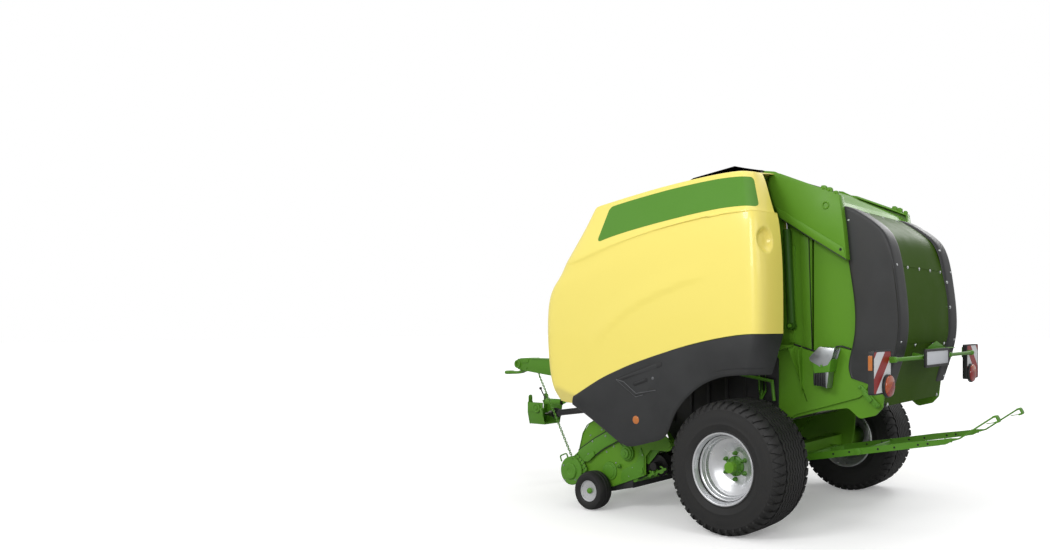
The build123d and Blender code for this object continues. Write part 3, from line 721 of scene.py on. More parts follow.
# %% The hood's cage
HOOD_FOOT = [(-1.576, 1.033), (-1.259, 1.204), (-0.919, 1.333), (-0.594, 1.428), (-0.285, 1.503), (0.01, 1.557),
    (0.167, 1.577), (0.4, 1.586)]
SHOULDER = [(-1.6, 2.175), (-1.36, 2.25), (-1.15, 2.315), (-0.9, 2.385), (-0.5, 2.46), (0.0, 2.525), (0.28, 2.535)]
NOSE_SIDE = [(-1.655, 0.95), (-1.8, 1.085), (-1.865, 1.33), (-1.872, 1.8), (-1.765, 2.01), (-1.68, 2.1),
    (-1.635, 2.16), (-1.58, 2.255), (-1.5, 2.59), (-1.48, 2.65)]
NOSE_FRONT = [(-1.88, 0.982), (-1.915, 1.085), (-1.968, 1.36), (-1.972, 1.85), (-1.862, 2.06), (-1.82, 2.155),
    (-1.785, 2.215), (-1.73, 2.305), (-1.54, 2.61), (-1.508, 2.67)]
REAR_Y = (0.222, 0.222, 0.215, 0.205, 0.205, 0.2, 0.185, 0.15, 0.045, 0.03)
RETURN_Y = (0.35, 0.35, 0.349, 0.34, 0.318, 0.3, 0.29, 0.262, 0.15, 0.122)
REAR_RISE = (0, 0.1, 0.34, 0.64, 0.9, 1.0)
BAND_FOOT = [(-1.6, 2.25), (-1.328, 2.345), (-1.087, 2.4), (-0.506, 2.493), (-0.06, 2.546), (0.162, 2.55),
    (0.35, 2.55)]
BAND_TOP = [(-1.55, 2.61), (-1.275, 2.669), (-1.008, 2.713), (-0.6, 2.772), (-0.168, 2.815), (0.15, 2.812)]
HOOD_TOP = [(-1.52, 2.665), (-0.895, 2.768), (-0.517, 2.818), (-0.044, 2.862), (0.2, 2.86)]
SIDE_X, RETURN_X, ROOT_X = 1.28, 0.955, 0.64
SIDE_SHARES = (0.0, 0.11, 0.28, 0.46, 0.64, 0.8, 0.93, 1.0)

def hood_side(row, share):
    """share runs from the rear corner, 0, to the nose, 1."""
    front_y, front_z = NOSE_SIDE[row]
    y = REAR_Y[row] + (front_y - REAR_Y[row]) * share
    if row <= 5:
        foot, top = follow(HOOD_FOOT, y), follow(SHOULDER, y) - 0.03
        front_low, front_top = NOSE_SIDE[0][1], NOSE_SIDE[5][1]
        rise = REAR_RISE[row] * (1 - share) + (front_z - front_low) / (front_top - front_low) * share
        z = foot + (top - foot) * rise
        z = z * (1 - share ** 6) + front_z * share ** 6
        bulge = 0.009 * math.sin(math.pi * min(1, rise * 1.05)) * math.sin(math.pi * min(1, 0.12 + share))
        return SIDE_X - 0.004 + bulge - (0, 0, 0, 0, 0.004, 0.012)[row], y, z
    x = {6: 1.262, 7: 1.25, 8: 1.13, 9: 1.085}[row]
    line = {6: SHOULDER, 7: BAND_FOOT, 8: BAND_TOP, 9: HOOD_TOP}[row]
    return x, y, follow(line, y)

def hood_cage():
    rows = []
    for row in range(10):
        side = [hood_side(row, s) for s in SIDE_SHARES]
        x, y, z = side[0]
        gap = RETURN_Y[row] - y
        reach = min(0.19, (x - RETURN_X) * 0.6)
        behind = [(RETURN_X if row < 8 else RETURN_X - 0.05, y + gap, z), (x - reach, y + gap * 0.93, z),
                  (x - 0.066, y + gap * 0.75, z), (x - 0.018, y + gap * 0.42, z)]
        (sy, sz), (ny, nz) = NOSE_SIDE[row], NOSE_FRONT[row]
        front = [(1.238 if row < 7 else side[-1][0] - 0.03, sy + (ny - sy) * 0.62, sz + (nz - sz) * 0.5),
                 (1.085 if row < 8 else 1.05, ny, nz), (0.88, ny - 0.006, nz + 0.004),
                     (ROOT_X, ny - 0.01, nz + 0.005)]
        rows.append(behind + side + front)
    for nearness, lift in ((0.62, 0.016), (0.3, 0.026), (0.0, 0.03)):
        rows.append([(ROOT_X + (p[0] - ROOT_X) * nearness, p[1], p[2] + lift) for p in rows[9]])
    return np.array(rows)

def drawn_through(cage, rounds=4, share=0.85):
    """Moves the cage out until the spline passes close to the drawn points, so corners stay where they are drawn."""
    target, moved = cage.copy(), cage.copy()
    for _ in range(rounds):
        moved += share * (target - spline_rows(moved, np.arange(len(cage))))
    return moved

CAGE = drawn_through(hood_cage())
print("hood cage:", CAGE.shape[:2])

# %% [markdown]
# The pressed shapes are small moves of the skin along its own normal. A long curved
# crease runs up the side, and the return has a grip cup to lift the hood by. Each is
# a smooth step or dip whose width is the radius that a press tool leaves. The chin
# is cut back to a slanting plane.

# %% Pressed shapes on the hood
CHIN_POINT, CHIN_NORMAL = np.array((1.27, -1.8305, 1.108)), np.array((0.847, -0.156, -0.508))
CREASE = [(-1.3, 1.48), (-1.2, 1.59), (-1.06, 1.695), (-0.9, 1.785), (-0.7, 1.87), (-0.48, 1.945), (-0.25, 2.005),
    (-0.06, 2.045)]

def smooth_step(value, low, high):
    t = np.clip((value - low) / (high - low), 0, 1)
    return t * t * (3 - 2 * t)

def beside(y, z, line):
    """Signed distance to a line in the side view, positive above it, and the share along it."""
    fine = spline_rows(np.array(line), np.linspace(0, len(line) - 1, 120))
    gap = np.hypot(y[..., None] - fine[:, 0], z[..., None] - fine[:, 1])
    near = gap.argmin(-1)
    ahead = np.gradient(fine, axis=0)[near]
    cross = ahead[..., 0] * (z - fine[near, 1]) - ahead[..., 1] * (y - fine[near, 0])
    return np.sign(cross) * gap.min(-1), near / (len(fine) - 1)

def press_hood(grid):
    normal = skin_normals(grid)
    x, y, z = grid[..., 0], grid[..., 1], grid[..., 2]
    on_side = smooth_step(x, 1.2, 1.255)
    off, share = beside(y, z, CREASE)
    ends = smooth_step(share, -0.1, 0.12) * (1 - smooth_step(share, 0.7, 1.0))
    step = smooth_step(off, -0.016, 0.012) * (1 - smooth_step(off, 0.02, 0.2))
    move = 0.0075 * step * ends * on_side
    cup = np.hypot((x - 1.15) / 0.085, (z - 2.305) / 0.098)
    behind = smooth_step(y, 0.2, 0.27)
    move -= 0.045 * (1 - smooth_step(cup, 0.62, 1.0)) * behind
    pressed = grid + normal * move[..., None]
    beyond = (pressed - CHIN_POINT) @ CHIN_NORMAL
    pressed[..., 0] -= np.clip(beyond, 0, None) / CHIN_NORMAL[0]
    return pressed

UPS = steps_between([(0, 6), (1, 8), (2, 14), (3, 14), (4, 10), (5, 10), (6, 8), (7, 12), (8, 8), (9, 4), (10, 3),
    (11, 2), (12, 1)])
ALONGS = steps_between([(0, 10), (1, 16), (2, 8), (3, 10), (4, 10), (5, 12), (6, 14), (7, 16), (8, 14), (9, 10),
    (10, 8), (11, 8), (12, 8), (13, 5), (14, 4), (15, 1)])
hood_skin = press_hood(skin(CAGE, UPS, ALONGS))
make("left_hood_panel", grid_mesh(hood_skin), hood_yellow, "left_hood", thick=0.006, crease=60,
    stands_for=["hood_left"], mirror=True)

# %% [markdown]
# A sheet of green film covers the slanted strip between the fold and the top edge,
# runs round the rear corner and has round corners. It is cut on the skin itself,
# in the numbers along and up, and stands a millimetre proud of the lacquer, as
# film does.

# %% The green film
def on_skin(grid, ups, alongs, up, along):
    i = np.clip(np.searchsorted(ups, up, "right") - 1, 0, len(ups) - 2)
    j = np.clip(np.searchsorted(alongs, along, "right") - 1, 0, len(alongs) - 2)
    s = ((up - np.take(ups, i)) / (np.take(ups, i + 1) - np.take(ups, i)))[..., None]
    t = ((along - np.take(alongs, j)) / (np.take(alongs, j + 1) - np.take(alongs, j)))[..., None]
    here, ahead = (grid[i, k] * (1 - s) + grid[i + 1, k] * s for k in (j, j + 1))
    return here * (1 - t) + ahead * t

FILM_UP, FILM_ALONG, FILM_CORNER, FILM_PROUD = (7.04, 8.03), (1.55, 9.5), 0.045, 0.0012

def film_sheet():
    fine = np.linspace(0, 1, 400)
    middle = on_skin(hood_skin, UPS, ALONGS, np.full(400, sum(FILM_UP) / 2),
        FILM_ALONG[0] + fine * (FILM_ALONG[1] - FILM_ALONG[0]))
    run = np.concatenate([[0], np.cumsum(np.linalg.norm(np.diff(middle, axis=0), axis=1))])
    marks = np.concatenate([FILM_CORNER * (1 - np.cos(np.linspace(0, math.pi / 2, 9))),
        np.linspace(FILM_CORNER, run[-1] - FILM_CORNER, 90)[1:-1],
                            run[-1] - FILM_CORNER * (1 - np.cos(np.linspace(math.pi / 2, 0, 9)))])
    along = FILM_ALONG[0] + np.interp(marks, run, fine) * (FILM_ALONG[1] - FILM_ALONG[0])
    from_end = np.minimum(marks, run[-1] - marks)
    short = np.clip(FILM_CORNER - from_end, 0, FILM_CORNER)
    inset = (FILM_CORNER - np.sqrt(np.maximum(0, FILM_CORNER ** 2 - short ** 2))) / 0.27 * (FILM_UP[1] - FILM_UP[0])
    rise = np.linspace(0, 1, 13)[:, None]
    up = (FILM_UP[0] + inset) * (1 - rise) + (FILM_UP[1] - inset) * rise
    sheet = on_skin(hood_skin, UPS, ALONGS, up, np.broadcast_to(along, up.shape))
    return sheet + skin_normals(sheet) * FILM_PROUD

make("left_hood_film", grid_mesh(film_sheet()), band_green, "left_hood", thick=0.0008, crease=50, mirror=True)

# %% [markdown]
# ## Skirts under the hoods
# The skirt is a charcoal moulding that swings up with its hood. It follows the
# hood's foot with a narrow gap, and its own lower edge makes the wheel arch. It is
# the same kind of spline skin, drawn as pairs of points, one on the upper edge and
# one on the lower. A shallow hollow is pressed in near the front corner.

# %% The skirt's skin
SKIRT_TOP = [-1.576, -1.45, -1.3, -1.18, -1.08, -0.95, -0.8, -0.66, -0.56, -0.47, -0.4, -0.32, -0.22, -0.12, 0.0, 0.1,
    0.18]
SKIRT_FOOT = [(-1.589, 0.955), (-1.42, 0.868), (-1.24, 0.768), (-1.09, 0.678), (-0.985, 0.632), (-0.9, 0.64),
    (-0.75, 0.68), (-0.63, 0.708), (-0.56, 0.745),
              (-0.52, 0.85), (-0.475, 0.94), (-0.407, 1.029), (-0.285, 1.132), (-0.165, 1.203), (-0.03, 1.243),
                  (0.05, 1.252), (0.115, 1.26)]
SKIRT_GAP = 0.009
SKIRT_THICK = 0.006
SKIRT_RETURN_TOP = [(1.264, 0.25), (1.22, 0.3), (1.1, 0.335), (0.955, 0.345)]
SKIRT_RETURN_FOOT = [(1.264, 0.185), (1.225, 0.24), (1.16, 0.3), (1.085, 0.325)]

def skirt_cage():
    rows = []
    for rise, tuck in ((0, 0.012), (0.04, 0.004), (0.12, 0.001), (0.4, -0.003), (0.7, -0.004), (0.92, 0.0),
        (1.0, 0.003)):
        row = []
        for top_y, (foot_y, foot_z) in zip(SKIRT_TOP, SKIRT_FOOT):
            top_z = follow(HOOD_FOOT, top_y) - SKIRT_GAP
            row.append((SIDE_X - 0.002 - tuck, foot_y + (top_y - foot_y) * rise, foot_z + (top_z - foot_z) * rise))
        for (x0, y0), (x1, y1) in zip(SKIRT_RETURN_FOOT, SKIRT_RETURN_TOP):
            row.append((x0 + (x1 - x0) * rise - tuck * 0.5, y0 + (y1 - y0) * rise - tuck * 0.7,
                1.262 + (1.577 - 1.262) * rise))
        rows.append(row)
    return np.array(rows)

GRIP = [(-1.096, 1.187), (-0.604, 1.349), (-0.6, 1.18), (-0.666, 1.113), (-0.878, 1.054)]

def edge_gap(y, z, start, stop):
    (y0, z0), (y1, z1) = start, stop
    run = math.hypot(y1 - y0, z1 - z0)
    return ((y1 - y0) * (z - z0) - (z1 - z0) * (y - y0)) / run

def press_skirt(grid):
    y, z = grid[..., 1], grid[..., 2]
    side = smooth_step(grid[..., 0], 1.2, 1.26)
    edges = [-edge_gap(y, z, GRIP[k], GRIP[(k + 1) % len(GRIP)]) for k in range(len(GRIP))]
    floor = 0.007 * np.prod([smooth_step(e, 0, w) for e, w in zip(edges, (0.008, 0.1, 0.06, 0.01, 0.01))], axis=0)
    lower = np.linalg.norm(grid - grid[:1], axis=2)
    lip = 0.0035 * (1 - smooth_step(lower, 0.05, 0.06)) * smooth_step(y, -0.15, 0.02)
    return grid + skin_normals(grid) * (lip - floor * side)[..., None]

ups = steps_between([(0, 3), (1, 4), (2, 20), (3, 26), (4, 18), (5, 3), (6, 1)])
alongs = steps_between([(0, 6), (1, 8), (2, 14), (3, 16), (4, 18), (5, 18), (6, 14)]
                       + [(k, 6) for k in range(7, 18)] + [(18, 5), (19, 5), (20, 1)])
skirt_grid = press_skirt(skin(drawn_through(skirt_cage(), 1, 0.6), ups, alongs))
make("left_hood_skirt", grid_mesh(skirt_grid), charcoal, "left_hood", thick=SKIRT_THICK, crease=50,
    stands_for=["hood_skirt_left"], mirror=True)

# %% [markdown]
# In the grip sits a slot latch with a round-ended black handle, and below it an
# orange side reflector: a faceted cup in a thin ring.

# %% Grip wedge, latch and reflector
skirt_side = skirt_grid[skirt_grid[..., 0] > 1.2]

def on_skirt(bm):
    """Lays a piece drawn about x = 0 on the outside of the left skirt."""
    for v in bm.verts:
        far = np.hypot(skirt_side[:, 1] - v.co.y, skirt_side[:, 2] - v.co.z)
        near = np.argsort(far)[:4]
        v.co.x += SKIRT_THICK + np.average(skirt_side[near, 0], weights=1 / (far[near] + 1e-4))
    return bm

WEDGE = [(-1.079, 1.194), (-0.969, 1.241), (-0.828, 1.291), (-0.723, 1.328), (-0.622, 1.352), (-0.598, 1.344),
    (-0.602, 1.308), (-0.749, 1.266), (-0.882, 1.226), (-0.993, 1.19)]
# The wedge along the grip's upper edge and the pocket round the latch are near-black: painted shade, standing in for
# the shadow under the grip's overhang and inside the recess.
painted_shade_moulding = moulded("black_moulding_as_painted_shade", "#0D0D0E", 0.6, "#1A1A1B")
bm = bmesh.new()
plate(bm, WEDGE, (0.004, 0, 0, 0, 0.01, 0.008, 0.01, 0, 0, 0.01), -0.015, 0.003)
make("left_hood_grip_wedge", on_skirt(bm), painted_shade_moulding, "left_hood", edge=0.002, mirror=True)
# The pale grey strips along the grip's lower edges are painted highlight: the light that the pressed step catches
# there.
painted_highlight_edge = moulded("moulding_edge_with_painted_highlight", "#4E4F51", 0.4, "#5C5D5F")
bm = bmesh.new()
side_bar(bm, 0.0018, rounded([(-1.079, 1.188), (-0.868, 1.053), (-0.79, 1.072)], (0, 0.012, 0)), circle(0.0028, 6))
side_bar(bm, 0.0018, rounded([(-1.076, 1.19), (-0.993, 1.173), (-0.858, 1.082), (-0.657, 1.116)],
    (0, 0.01, 0.012, 0)), circle(0.0028, 6))
turned(bm, [(0, -0.01), (0.012, -0.01), (0.012, 0.003), (0.009, 0.0052), (0, 0.0058)], (0, -0.683, 1.212), "x", 20)
make("left_hood_grip_edges", on_skirt(bm), painted_highlight_edge, "left_hood", crease=50, mirror=True)
def tilted(outline, centre, turn):
    c, s = math.cos(turn), math.sin(turn)
    return [(centre[0] + a * c - b * s, centre[1] + a * s + b * c) for a, b in outline]

LATCH, LATCH_TURN = (-0.815, 1.178), math.radians(18)
pill = rounded(rectangle(-0.078, -0.017, 0.078, 0.017), 0.0165)
bm = bmesh.new()
slab(bm, "x", tilted(pill, LATCH, LATCH_TURN), -0.02, 0.0042)
make("left_hood_latch_pocket", on_skirt(bm), painted_shade_moulding, "left_hood", edge=0.002, mirror=True)
bm = bmesh.new()
slab(bm, "x", tilted([(a * 0.8, b * 0.42) for a, b in pill], (LATCH[0] - 0.004, LATCH[1] + 0.002), LATCH_TURN), -0.01,
    0.0075)
make("left_hood_latch", on_skirt(bm), charcoal, "left_hood", edge=0.0025, mirror=True)

amber = new_finish("amber_reflector_plastic", "charcoal_plastic", Base_Color=linear("#B4682A"), Roughness=0.18,
    IOR=1.49,
                   Coat_Weight=0.5)[0]
REFLECTOR = (0.0, -0.869, 0.862)
bm = bmesh.new()
turned(bm, [(0, -0.004), (0.034, -0.004), (0.034, 0.001), (0.03, 0.003), (0, 0.003)], REFLECTOR, "x", 32)
make("left_hood_reflector", on_skirt(bm), amber, "left_hood", edge=0.001, mirror=True)

# %% [markdown]
# ## Road wheels
# A wide low-pressure tyre on a deep silver rim. Casing and rim are round, so each
# is one profile turned about the axle. The tread isn't: it has seven zigzag ribs
# with narrow grooves and a ring of heavy blocks over each shoulder. One pitch of
# that pattern is drawn and forty-four copies close the ring.

# %% Tyre
low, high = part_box("wheel_tyre_left")
WHEEL = Vector(((low.x + high.x) / 2, 0, (low.z + high.z) / 2))
TYRE_R, PITCHES = (high.z - low.z) / 2, 44

def mirrored_profile(half):
    return half + [(r, -a) for r, a in reversed(half) if abs(a) > 1e-6]

CASING = [(0.262, 0.196), (0.268, 0.214), (0.281, 0.226), (0.29, 0.2335), (0.296, 0.2345), (0.301, 0.231),
    (0.318, 0.2375), (0.345, 0.2425), (0.35, 0.2445), (0.355, 0.243),
          (0.385, 0.2445), (0.425, 0.2425), (0.455, 0.237), (0.46, 0.2375), (0.465, 0.2345), (0.485, 0.226),
              (0.502, 0.21), (0.511, 0.188), (0.5155, 0.15), (0.518, 0.08), (0.5185, 0.0)]
INSIDE = [(0.255, -0.19), (0.262, -0.15), (0.3, -0.2), (0.4, -0.222), (0.48, -0.19), (0.5, -0.1), (0.5, 0.1),
    (0.48, 0.19), (0.4, 0.222), (0.3, 0.2), (0.262, 0.15), (0.255, 0.19)]
bm = bmesh.new()
turned(bm, mirrored_profile(CASING) + INSIDE, WHEEL, "x", 96, closed=True)
casing = pattern_of(bm)

def on_wheel(turn, along, radius):
    return Vector((along, radius * math.sin(turn), radius * math.cos(turn)))

def crown(along):
    return TYRE_R - 0.01 * (along / 0.15) ** 2 * 0.35

def tread_pitch():
    bm = bmesh.new()
    pitch = math.tau / PITCHES
    for rib in range(-3, 4):
        middle, half, sway = rib * 0.0385, 0.0145, 0.0085
        rings = []
        for share, shift in ((0, -sway), (0.5, sway), (1.0, -sway)):
            edge = [(middle + shift + s * half, h) for s, h in ((-1, -0.016), (-1, 0), (1, 0), (1, -0.016))]
            rings.append([bm.verts.new(on_wheel(pitch * share, a, crown(a) + h)) for a, h in edge])
        for one, two in zip(rings, rings[1:]):
            for k in range(3):
                bm.faces.new((one[k], one[k + 1], two[k + 1], two[k]))
    rows = [(0.152, 0.5275, 0.06, 0.62), (0.17, 0.526, 0.1, 0.8), (0.192, 0.5225, 0.16, 0.94),
        (0.212, 0.515, 0.2, 0.86), (0.228, 0.503, 0.26, 0.72), (0.24, 0.483, 0.34, 0.58)]
    for hand in (-1, 1):
        top, foot = [], []
        for along, radius, start, stop in rows:
            if hand < 0:
                start, stop = 1 - stop, 1 - start
            shares = (start, (start + stop) / 2, stop)
            top.append([bm.verts.new(on_wheel(pitch * s, hand * along, radius)) for s in shares])
            foot.append([bm.verts.new(on_wheel(pitch * s, hand * (along - 0.004), radius - 0.02)) for s in shares])
        for i in range(len(rows) - 1):
            for k in (0, 1):
                bm.faces.new((top[i][k], top[i][k + 1], top[i + 1][k + 1], top[i + 1][k]))
            bm.faces.new((foot[i][0], top[i][0], top[i + 1][0], foot[i + 1][0]))
            bm.faces.new((top[i][2], foot[i][2], foot[i + 1][2], top[i + 1][2]))
        for i in (0, -1):
            for k in (0, 1):
                bm.faces.new((top[i][k], foot[i][k], foot[i][k + 1], top[i][k + 1]))
    bmesh.ops.recalc_face_normals(bm, faces=bm.faces)
    return bm

tread = ring_of(tread_pitch(), PITCHES, tyre_rubber, WHEEL)
tyre = joined("tyre", casing.data, tread)
bpy.data.objects.remove(casing)
make("left_wheel_tyre", tyre, tyre_rubber, "left_wheel", crease=28, stands_for=["wheel_tyre_left"], mirror=True)

# %% [markdown]
# The rim is pressed and rolled: a curled flange, the bead seat, two steps down to
# the well and a domed disc welded far inside. A turned profile with both of its
# sides gives the true sheet thickness at every step. The hub is cast and painted
# with the axle: a flange with six short ribs, six wheel nuts round it and a stepped cap.

# %% Rim and hub
RIM_FACE = [(0.288, 0.226), (0.2875, 0.234), (0.284, 0.2385), (0.278, 0.2392), (0.2725, 0.236), (0.27, 0.229),
    (0.265, 0.212), (0.26, 0.2), (0.2585, 0.176), (0.2545, 0.168), (0.247, 0.164),
            (0.244, 0.156), (0.2425, 0.142), (0.238, 0.136), (0.231, 0.133), (0.228, 0.124), (0.2265, 0.112),
                (0.2235, 0.104), (0.216, 0.101), (0.205, 0.0985), (0.185, 0.09), (0.155, 0.07), (0.13, 0.053),
                (0.115, 0.047), (0.05, 0.046)]
RIM_BACK = [(0.05, 0.036), (0.118, 0.037), (0.135, 0.043), (0.16, 0.06), (0.19, 0.08), (0.217, 0.09), (0.221, 0.08),
    (0.221, -0.14), (0.236, -0.152), (0.25, -0.16), (0.2525, -0.2), (0.262, -0.222), (0.27, -0.236),
            (0.278, -0.2392), (0.2875, -0.234), (0.288, -0.226), (0.276, -0.216), (0.2655, -0.198), (0.264, -0.168),
                (0.24, -0.155), (0.227, -0.14), (0.227, 0.1), (0.24, 0.145), (0.256, 0.172), (0.264, 0.182),
                (0.2655, 0.198), (0.276, 0.216)]
bm = bmesh.new()
turned(bm, RIM_FACE + RIM_BACK, WHEEL, "x", 96, closed=True)
make("left_wheel_rim", bm, rim_silver, "left_wheel", crease=40, stands_for=["wheel_rim_left"], mirror=True)

# The hub's green is darker than the frame's: painted shade, for the hub sits deep in the wheel's dish.
hub_green = painted("green_enamel_on_hub_darkened_as_painted_shade", "#3F7019", 0.36, dusty=0.05, shine=0.35)
bm = bmesh.new()
turned(bm, [(0, 0.03), (0.078, 0.03), (0.08, 0.052), (0.076, 0.06), (0.064, 0.064), (0.058, 0.072), (0.05, 0.09),
    (0.044, 0.102), (0.038, 0.105), (0.036, 0.112), (0.02, 0.116), (0.018, 0.11), (0, 0.11)], WHEEL, "x", 48)
hub = pattern_of(bm)
bm = bmesh.new()
turned(bm, [(0, 0.046), (0.021, 0.046), (0.021, 0.052), (0.0165, 0.052), (0.0165, 0.07), (0.013, 0.074),
    (0.009, 0.074), (0.009, 0.086), (0.006, 0.088), (0, 0.088)], (0, 0, 0.103), "x", 6)
nuts = ring_of(bm, 6, hub_green, WHEEL)
bm = bmesh.new()
slab(bm, "x", [(-0.005, 0.036), (0.005, 0.036), (0.008, 0.077), (-0.008, 0.077)], 0.05, 0.08)
ribs = ring_of(bm, 6, hub_green, WHEEL)
make("left_wheel_hub", joined("hub", hub.data, nuts, ribs), hub_green, "left_wheel", edge=0.0015, crease=30,
    mirror=True)
bpy.data.objects.remove(hub)

# %% [markdown]
# ## The rear door's skin
# Three glossy sheets close the tailgate: a rolled one on top, a nearly flat one
# with the maker's plain panel, and a lower one that tucks under. A rolled sheet is
# one section carried across the machine, so each is a spline skin of that section
# with a true 2 mm wall. The sheets overlap at screwed seams.

# %% Rear sheets
SHEET_HALF = 0.598
UPPER_SHEET = [(0.738, 2.58), (0.8, 2.546), (0.894, 2.488), (1.0, 2.408), (1.062, 2.33), (1.1, 2.235), (1.138, 2.114)]
MIDDLE_SHEET = [(1.134, 2.122), (1.141, 2.085), (1.163, 1.987), (1.183, 1.86), (1.192, 1.74), (1.194, 1.62),
    (1.188, 1.55), (1.177, 1.5)]
LOWER_SHEET = [(1.172, 1.508), (1.16, 1.44), (1.14, 1.37), (1.112, 1.28), (1.088, 1.2), (1.07, 1.13), (1.048, 1.01)]

def rear_sheet(section, corner=0.0, steps=6):
    line = spline_rows(drawn_through(np.array(section)), np.linspace(0, len(section) - 1,
        (len(section) - 1) * steps + 1))
    above_foot = np.concatenate([np.cumsum(np.linalg.norm(np.diff(line[::-1], axis=0), axis=1))[::-1], [0]])
    grid = []
    for (y, z), rise in zip(line, above_foot):
        short = max(0.0, corner - rise)
        half = SHEET_HALF - (corner - math.sqrt(max(0.0, corner ** 2 - short ** 2)))
        grid.append([(half - 2 * half * k / 12, y, z) for k in range(13)])
    return grid_mesh(grid[::-1])

for name, section, corner in (("upper", UPPER_SHEET, 0), ("middle", MIDDLE_SHEET, 0), ("lower", LOWER_SHEET, 0.075)):
    make("tailgate_" + name + "_sheet", rear_sheet(section, corner), panel_green, "tailgate", thick=0.0022, crease=50,
         stands_for=["tailgate_" + name + "_panel"])

# %% [markdown]
# ## Corner covers
# Two charcoal mouldings wrap the rear corners. Each has a flat outer side, a tight
# edge that catches a thin line of light, and a band that laps over the glossy
# sheets. The skin is drawn as pairs again: a point on the rear edge and its partner
# on the front edge, with the section bent between them.

# %% Corner covers
COVER_REAR = [(0.722, 2.59), (0.8, 2.566), (0.905, 2.505), (1.0, 2.438), (1.07, 2.368), (1.117, 2.275), (1.15, 2.15),
    (1.178, 1.98), (1.2, 1.8), (1.205, 1.62), (1.18, 1.45), (1.125, 1.277), (1.08, 1.146)]
COVER_FRONT = [(0.706, 2.565), (0.712, 2.49), (0.728, 2.4), (0.745, 2.3), (0.758, 2.225), (0.775, 2.13),
    (0.795, 2.01), (0.817, 1.87), (0.829, 1.72), (0.822, 1.56), (0.79, 1.42), (0.77, 1.31), (0.795, 1.226)]
COVER_FOLD = [(0.995, 2.3), (0.975, 2.08), (0.94, 1.86), (0.88, 1.66), (0.825, 1.5)]
COVER_SIDE, COVER_LIP = 0.653, 0.458

def cover_grid():
    rows = []
    for (ry, rz), (fy, fz) in zip(COVER_REAR, COVER_FRONT):
        rear, front = Vector((ry, rz)), Vector((fy, fz))
        inward = (front - rear).normalized()
        if rz > 2.4:
            inward = Vector((-0.45, -0.89))
        row = []
        for x, deep in ((COVER_LIP, 0.02), (COVER_LIP + 0.002, 0.004), (0.5, 0.0), (0.6, 0.0), (0.64, 0.001),
            (0.65, 0.006), (COVER_SIDE, 0.018)):
            row.append((x, *(rear + inward * deep)))
        near = rear + inward * 0.045
        for share, x in ((0, COVER_SIDE), (0.3, COVER_SIDE + 0.001), (0.6, COVER_SIDE + 0.001), (0.9, COVER_SIDE),
            (0.985, COVER_SIDE - 0.002), (1.0, COVER_SIDE - 0.012)):
            row.append((x, *(near + (front - near) * share)))
        rows.append(row)
    return np.array(rows[::-1])

ups = steps_between([(k, 6) for k in range(12)] + [(12, 1)])
alongs = steps_between([(0, 2), (1, 2), (2, 2), (3, 4), (4, 4), (5, 4), (6, 3), (7, 6), (8, 8), (9, 8), (10, 4),
    (11, 3), (12, 1)])
grid = skin(drawn_through(cover_grid(), 2, 0.8), ups, alongs)
off, share = beside(grid[..., 1], grid[..., 2], COVER_FOLD)
flat_side = smooth_step(grid[..., 0], COVER_SIDE - 0.004, COVER_SIDE - 0.001)
grid[..., 0] -= 0.007 * smooth_step(off, 0.0, 0.16) * flat_side * smooth_step(share, 0.0, 0.3)
for side, hand in (("left", 1), ("right", -1)):
    bm = grid_mesh(grid * (hand, 1, 1))
    if side == "left":
        bmesh.ops.reverse_faces(bm, faces=bm.faces)
    make(side + "_corner_cover_skin", bm, charcoal, "tailgate", thick=0.005, crease=50,
        stands_for=["corner_cover_" + side])

# %% Screws of the rear door
REAR_LINE = [(z, y) for y, z in UPPER_SHEET[:-1] + MIDDLE_SHEET[1:-1] + LOWER_SHEET[1:]]

def on_rear(z):
    """The door's Y at a height, and the way it faces there."""
    slope = (follow(REAR_LINE, z + 0.02) - follow(REAR_LINE, z - 0.02)) / 0.04
    return follow(REAR_LINE, z), Vector((0, 1, -slope)).normalized()

spots = []
for z, xs in ((2.108, (-0.4, -0.155, 0.09, 0.335)), (1.485, (-0.4, -0.13, 0.26)), (2.56, (-0.3, 0.0, 0.3)),
    (1.022, (-0.54, 0.54))):
    y, facing = on_rear(z)
    spots += [((x, y + 0.002, z), facing, (1, 0, 0)) for x in xs]
for z in (2.3, 2.112, 2.02, 1.8, 1.515, 1.4, 1.19):
    facing = on_rear(z)[1]
    y = follow([(b, a) for a, b in COVER_REAR], z)
    for hand in (-1, 1):
        x = 0.6 if z in (2.112, 1.515, 1.19) else 0.478
        if hand < 0 or x > 0.5:
            spots.append(((hand * x, y + 0.001, z), facing, (1, 0, 0)))
for hand in (-1, 1):
    spots.append(((hand * (COVER_SIDE + 0.001), 0.775, 2.475), (hand, 0, 0), (0, 1, 0)))
make_copies("tailgate_screws", hex_screw(0.0085), spots, bright_bolt, "tailgate", size=1.25, crease=30)
print("screws on the door:", len(spots))

# %% [markdown]
# ## Warning boards and number plate
# A striped board stands each side of the door on a round bar, with a lamp at its
# inner corner and an orange reflector on its outer edge. The stripes are reflective
# sheet, cut from the board's own rectangle with slanting lines, so they are real
# pieces and not a printed picture. The number plate is blank.

# %% Boards
def reflective(name, colour, gloss, coat=0.0, index=1.49):
    return new_finish(name, "charcoal_plastic", Base_Color=linear(colour), Roughness=gloss, IOR=index,
        Coat_Weight=coat)[0]

def add_prisms(finish, size):
    """Small square cells under a clear face, as in a reflector or a lamp's lens."""
    tree = finish.node_tree
    prisms = add(tree, "ShaderNodeTexVoronoi", {"Vector": object_place(tree), "Scale": 1 / size},
                 feature="F1", distance="CHEBYCHEV")
    bumped(tree, tree.nodes["Principled BSDF"], prisms.outputs["Distance"], 0.25, 0.001)

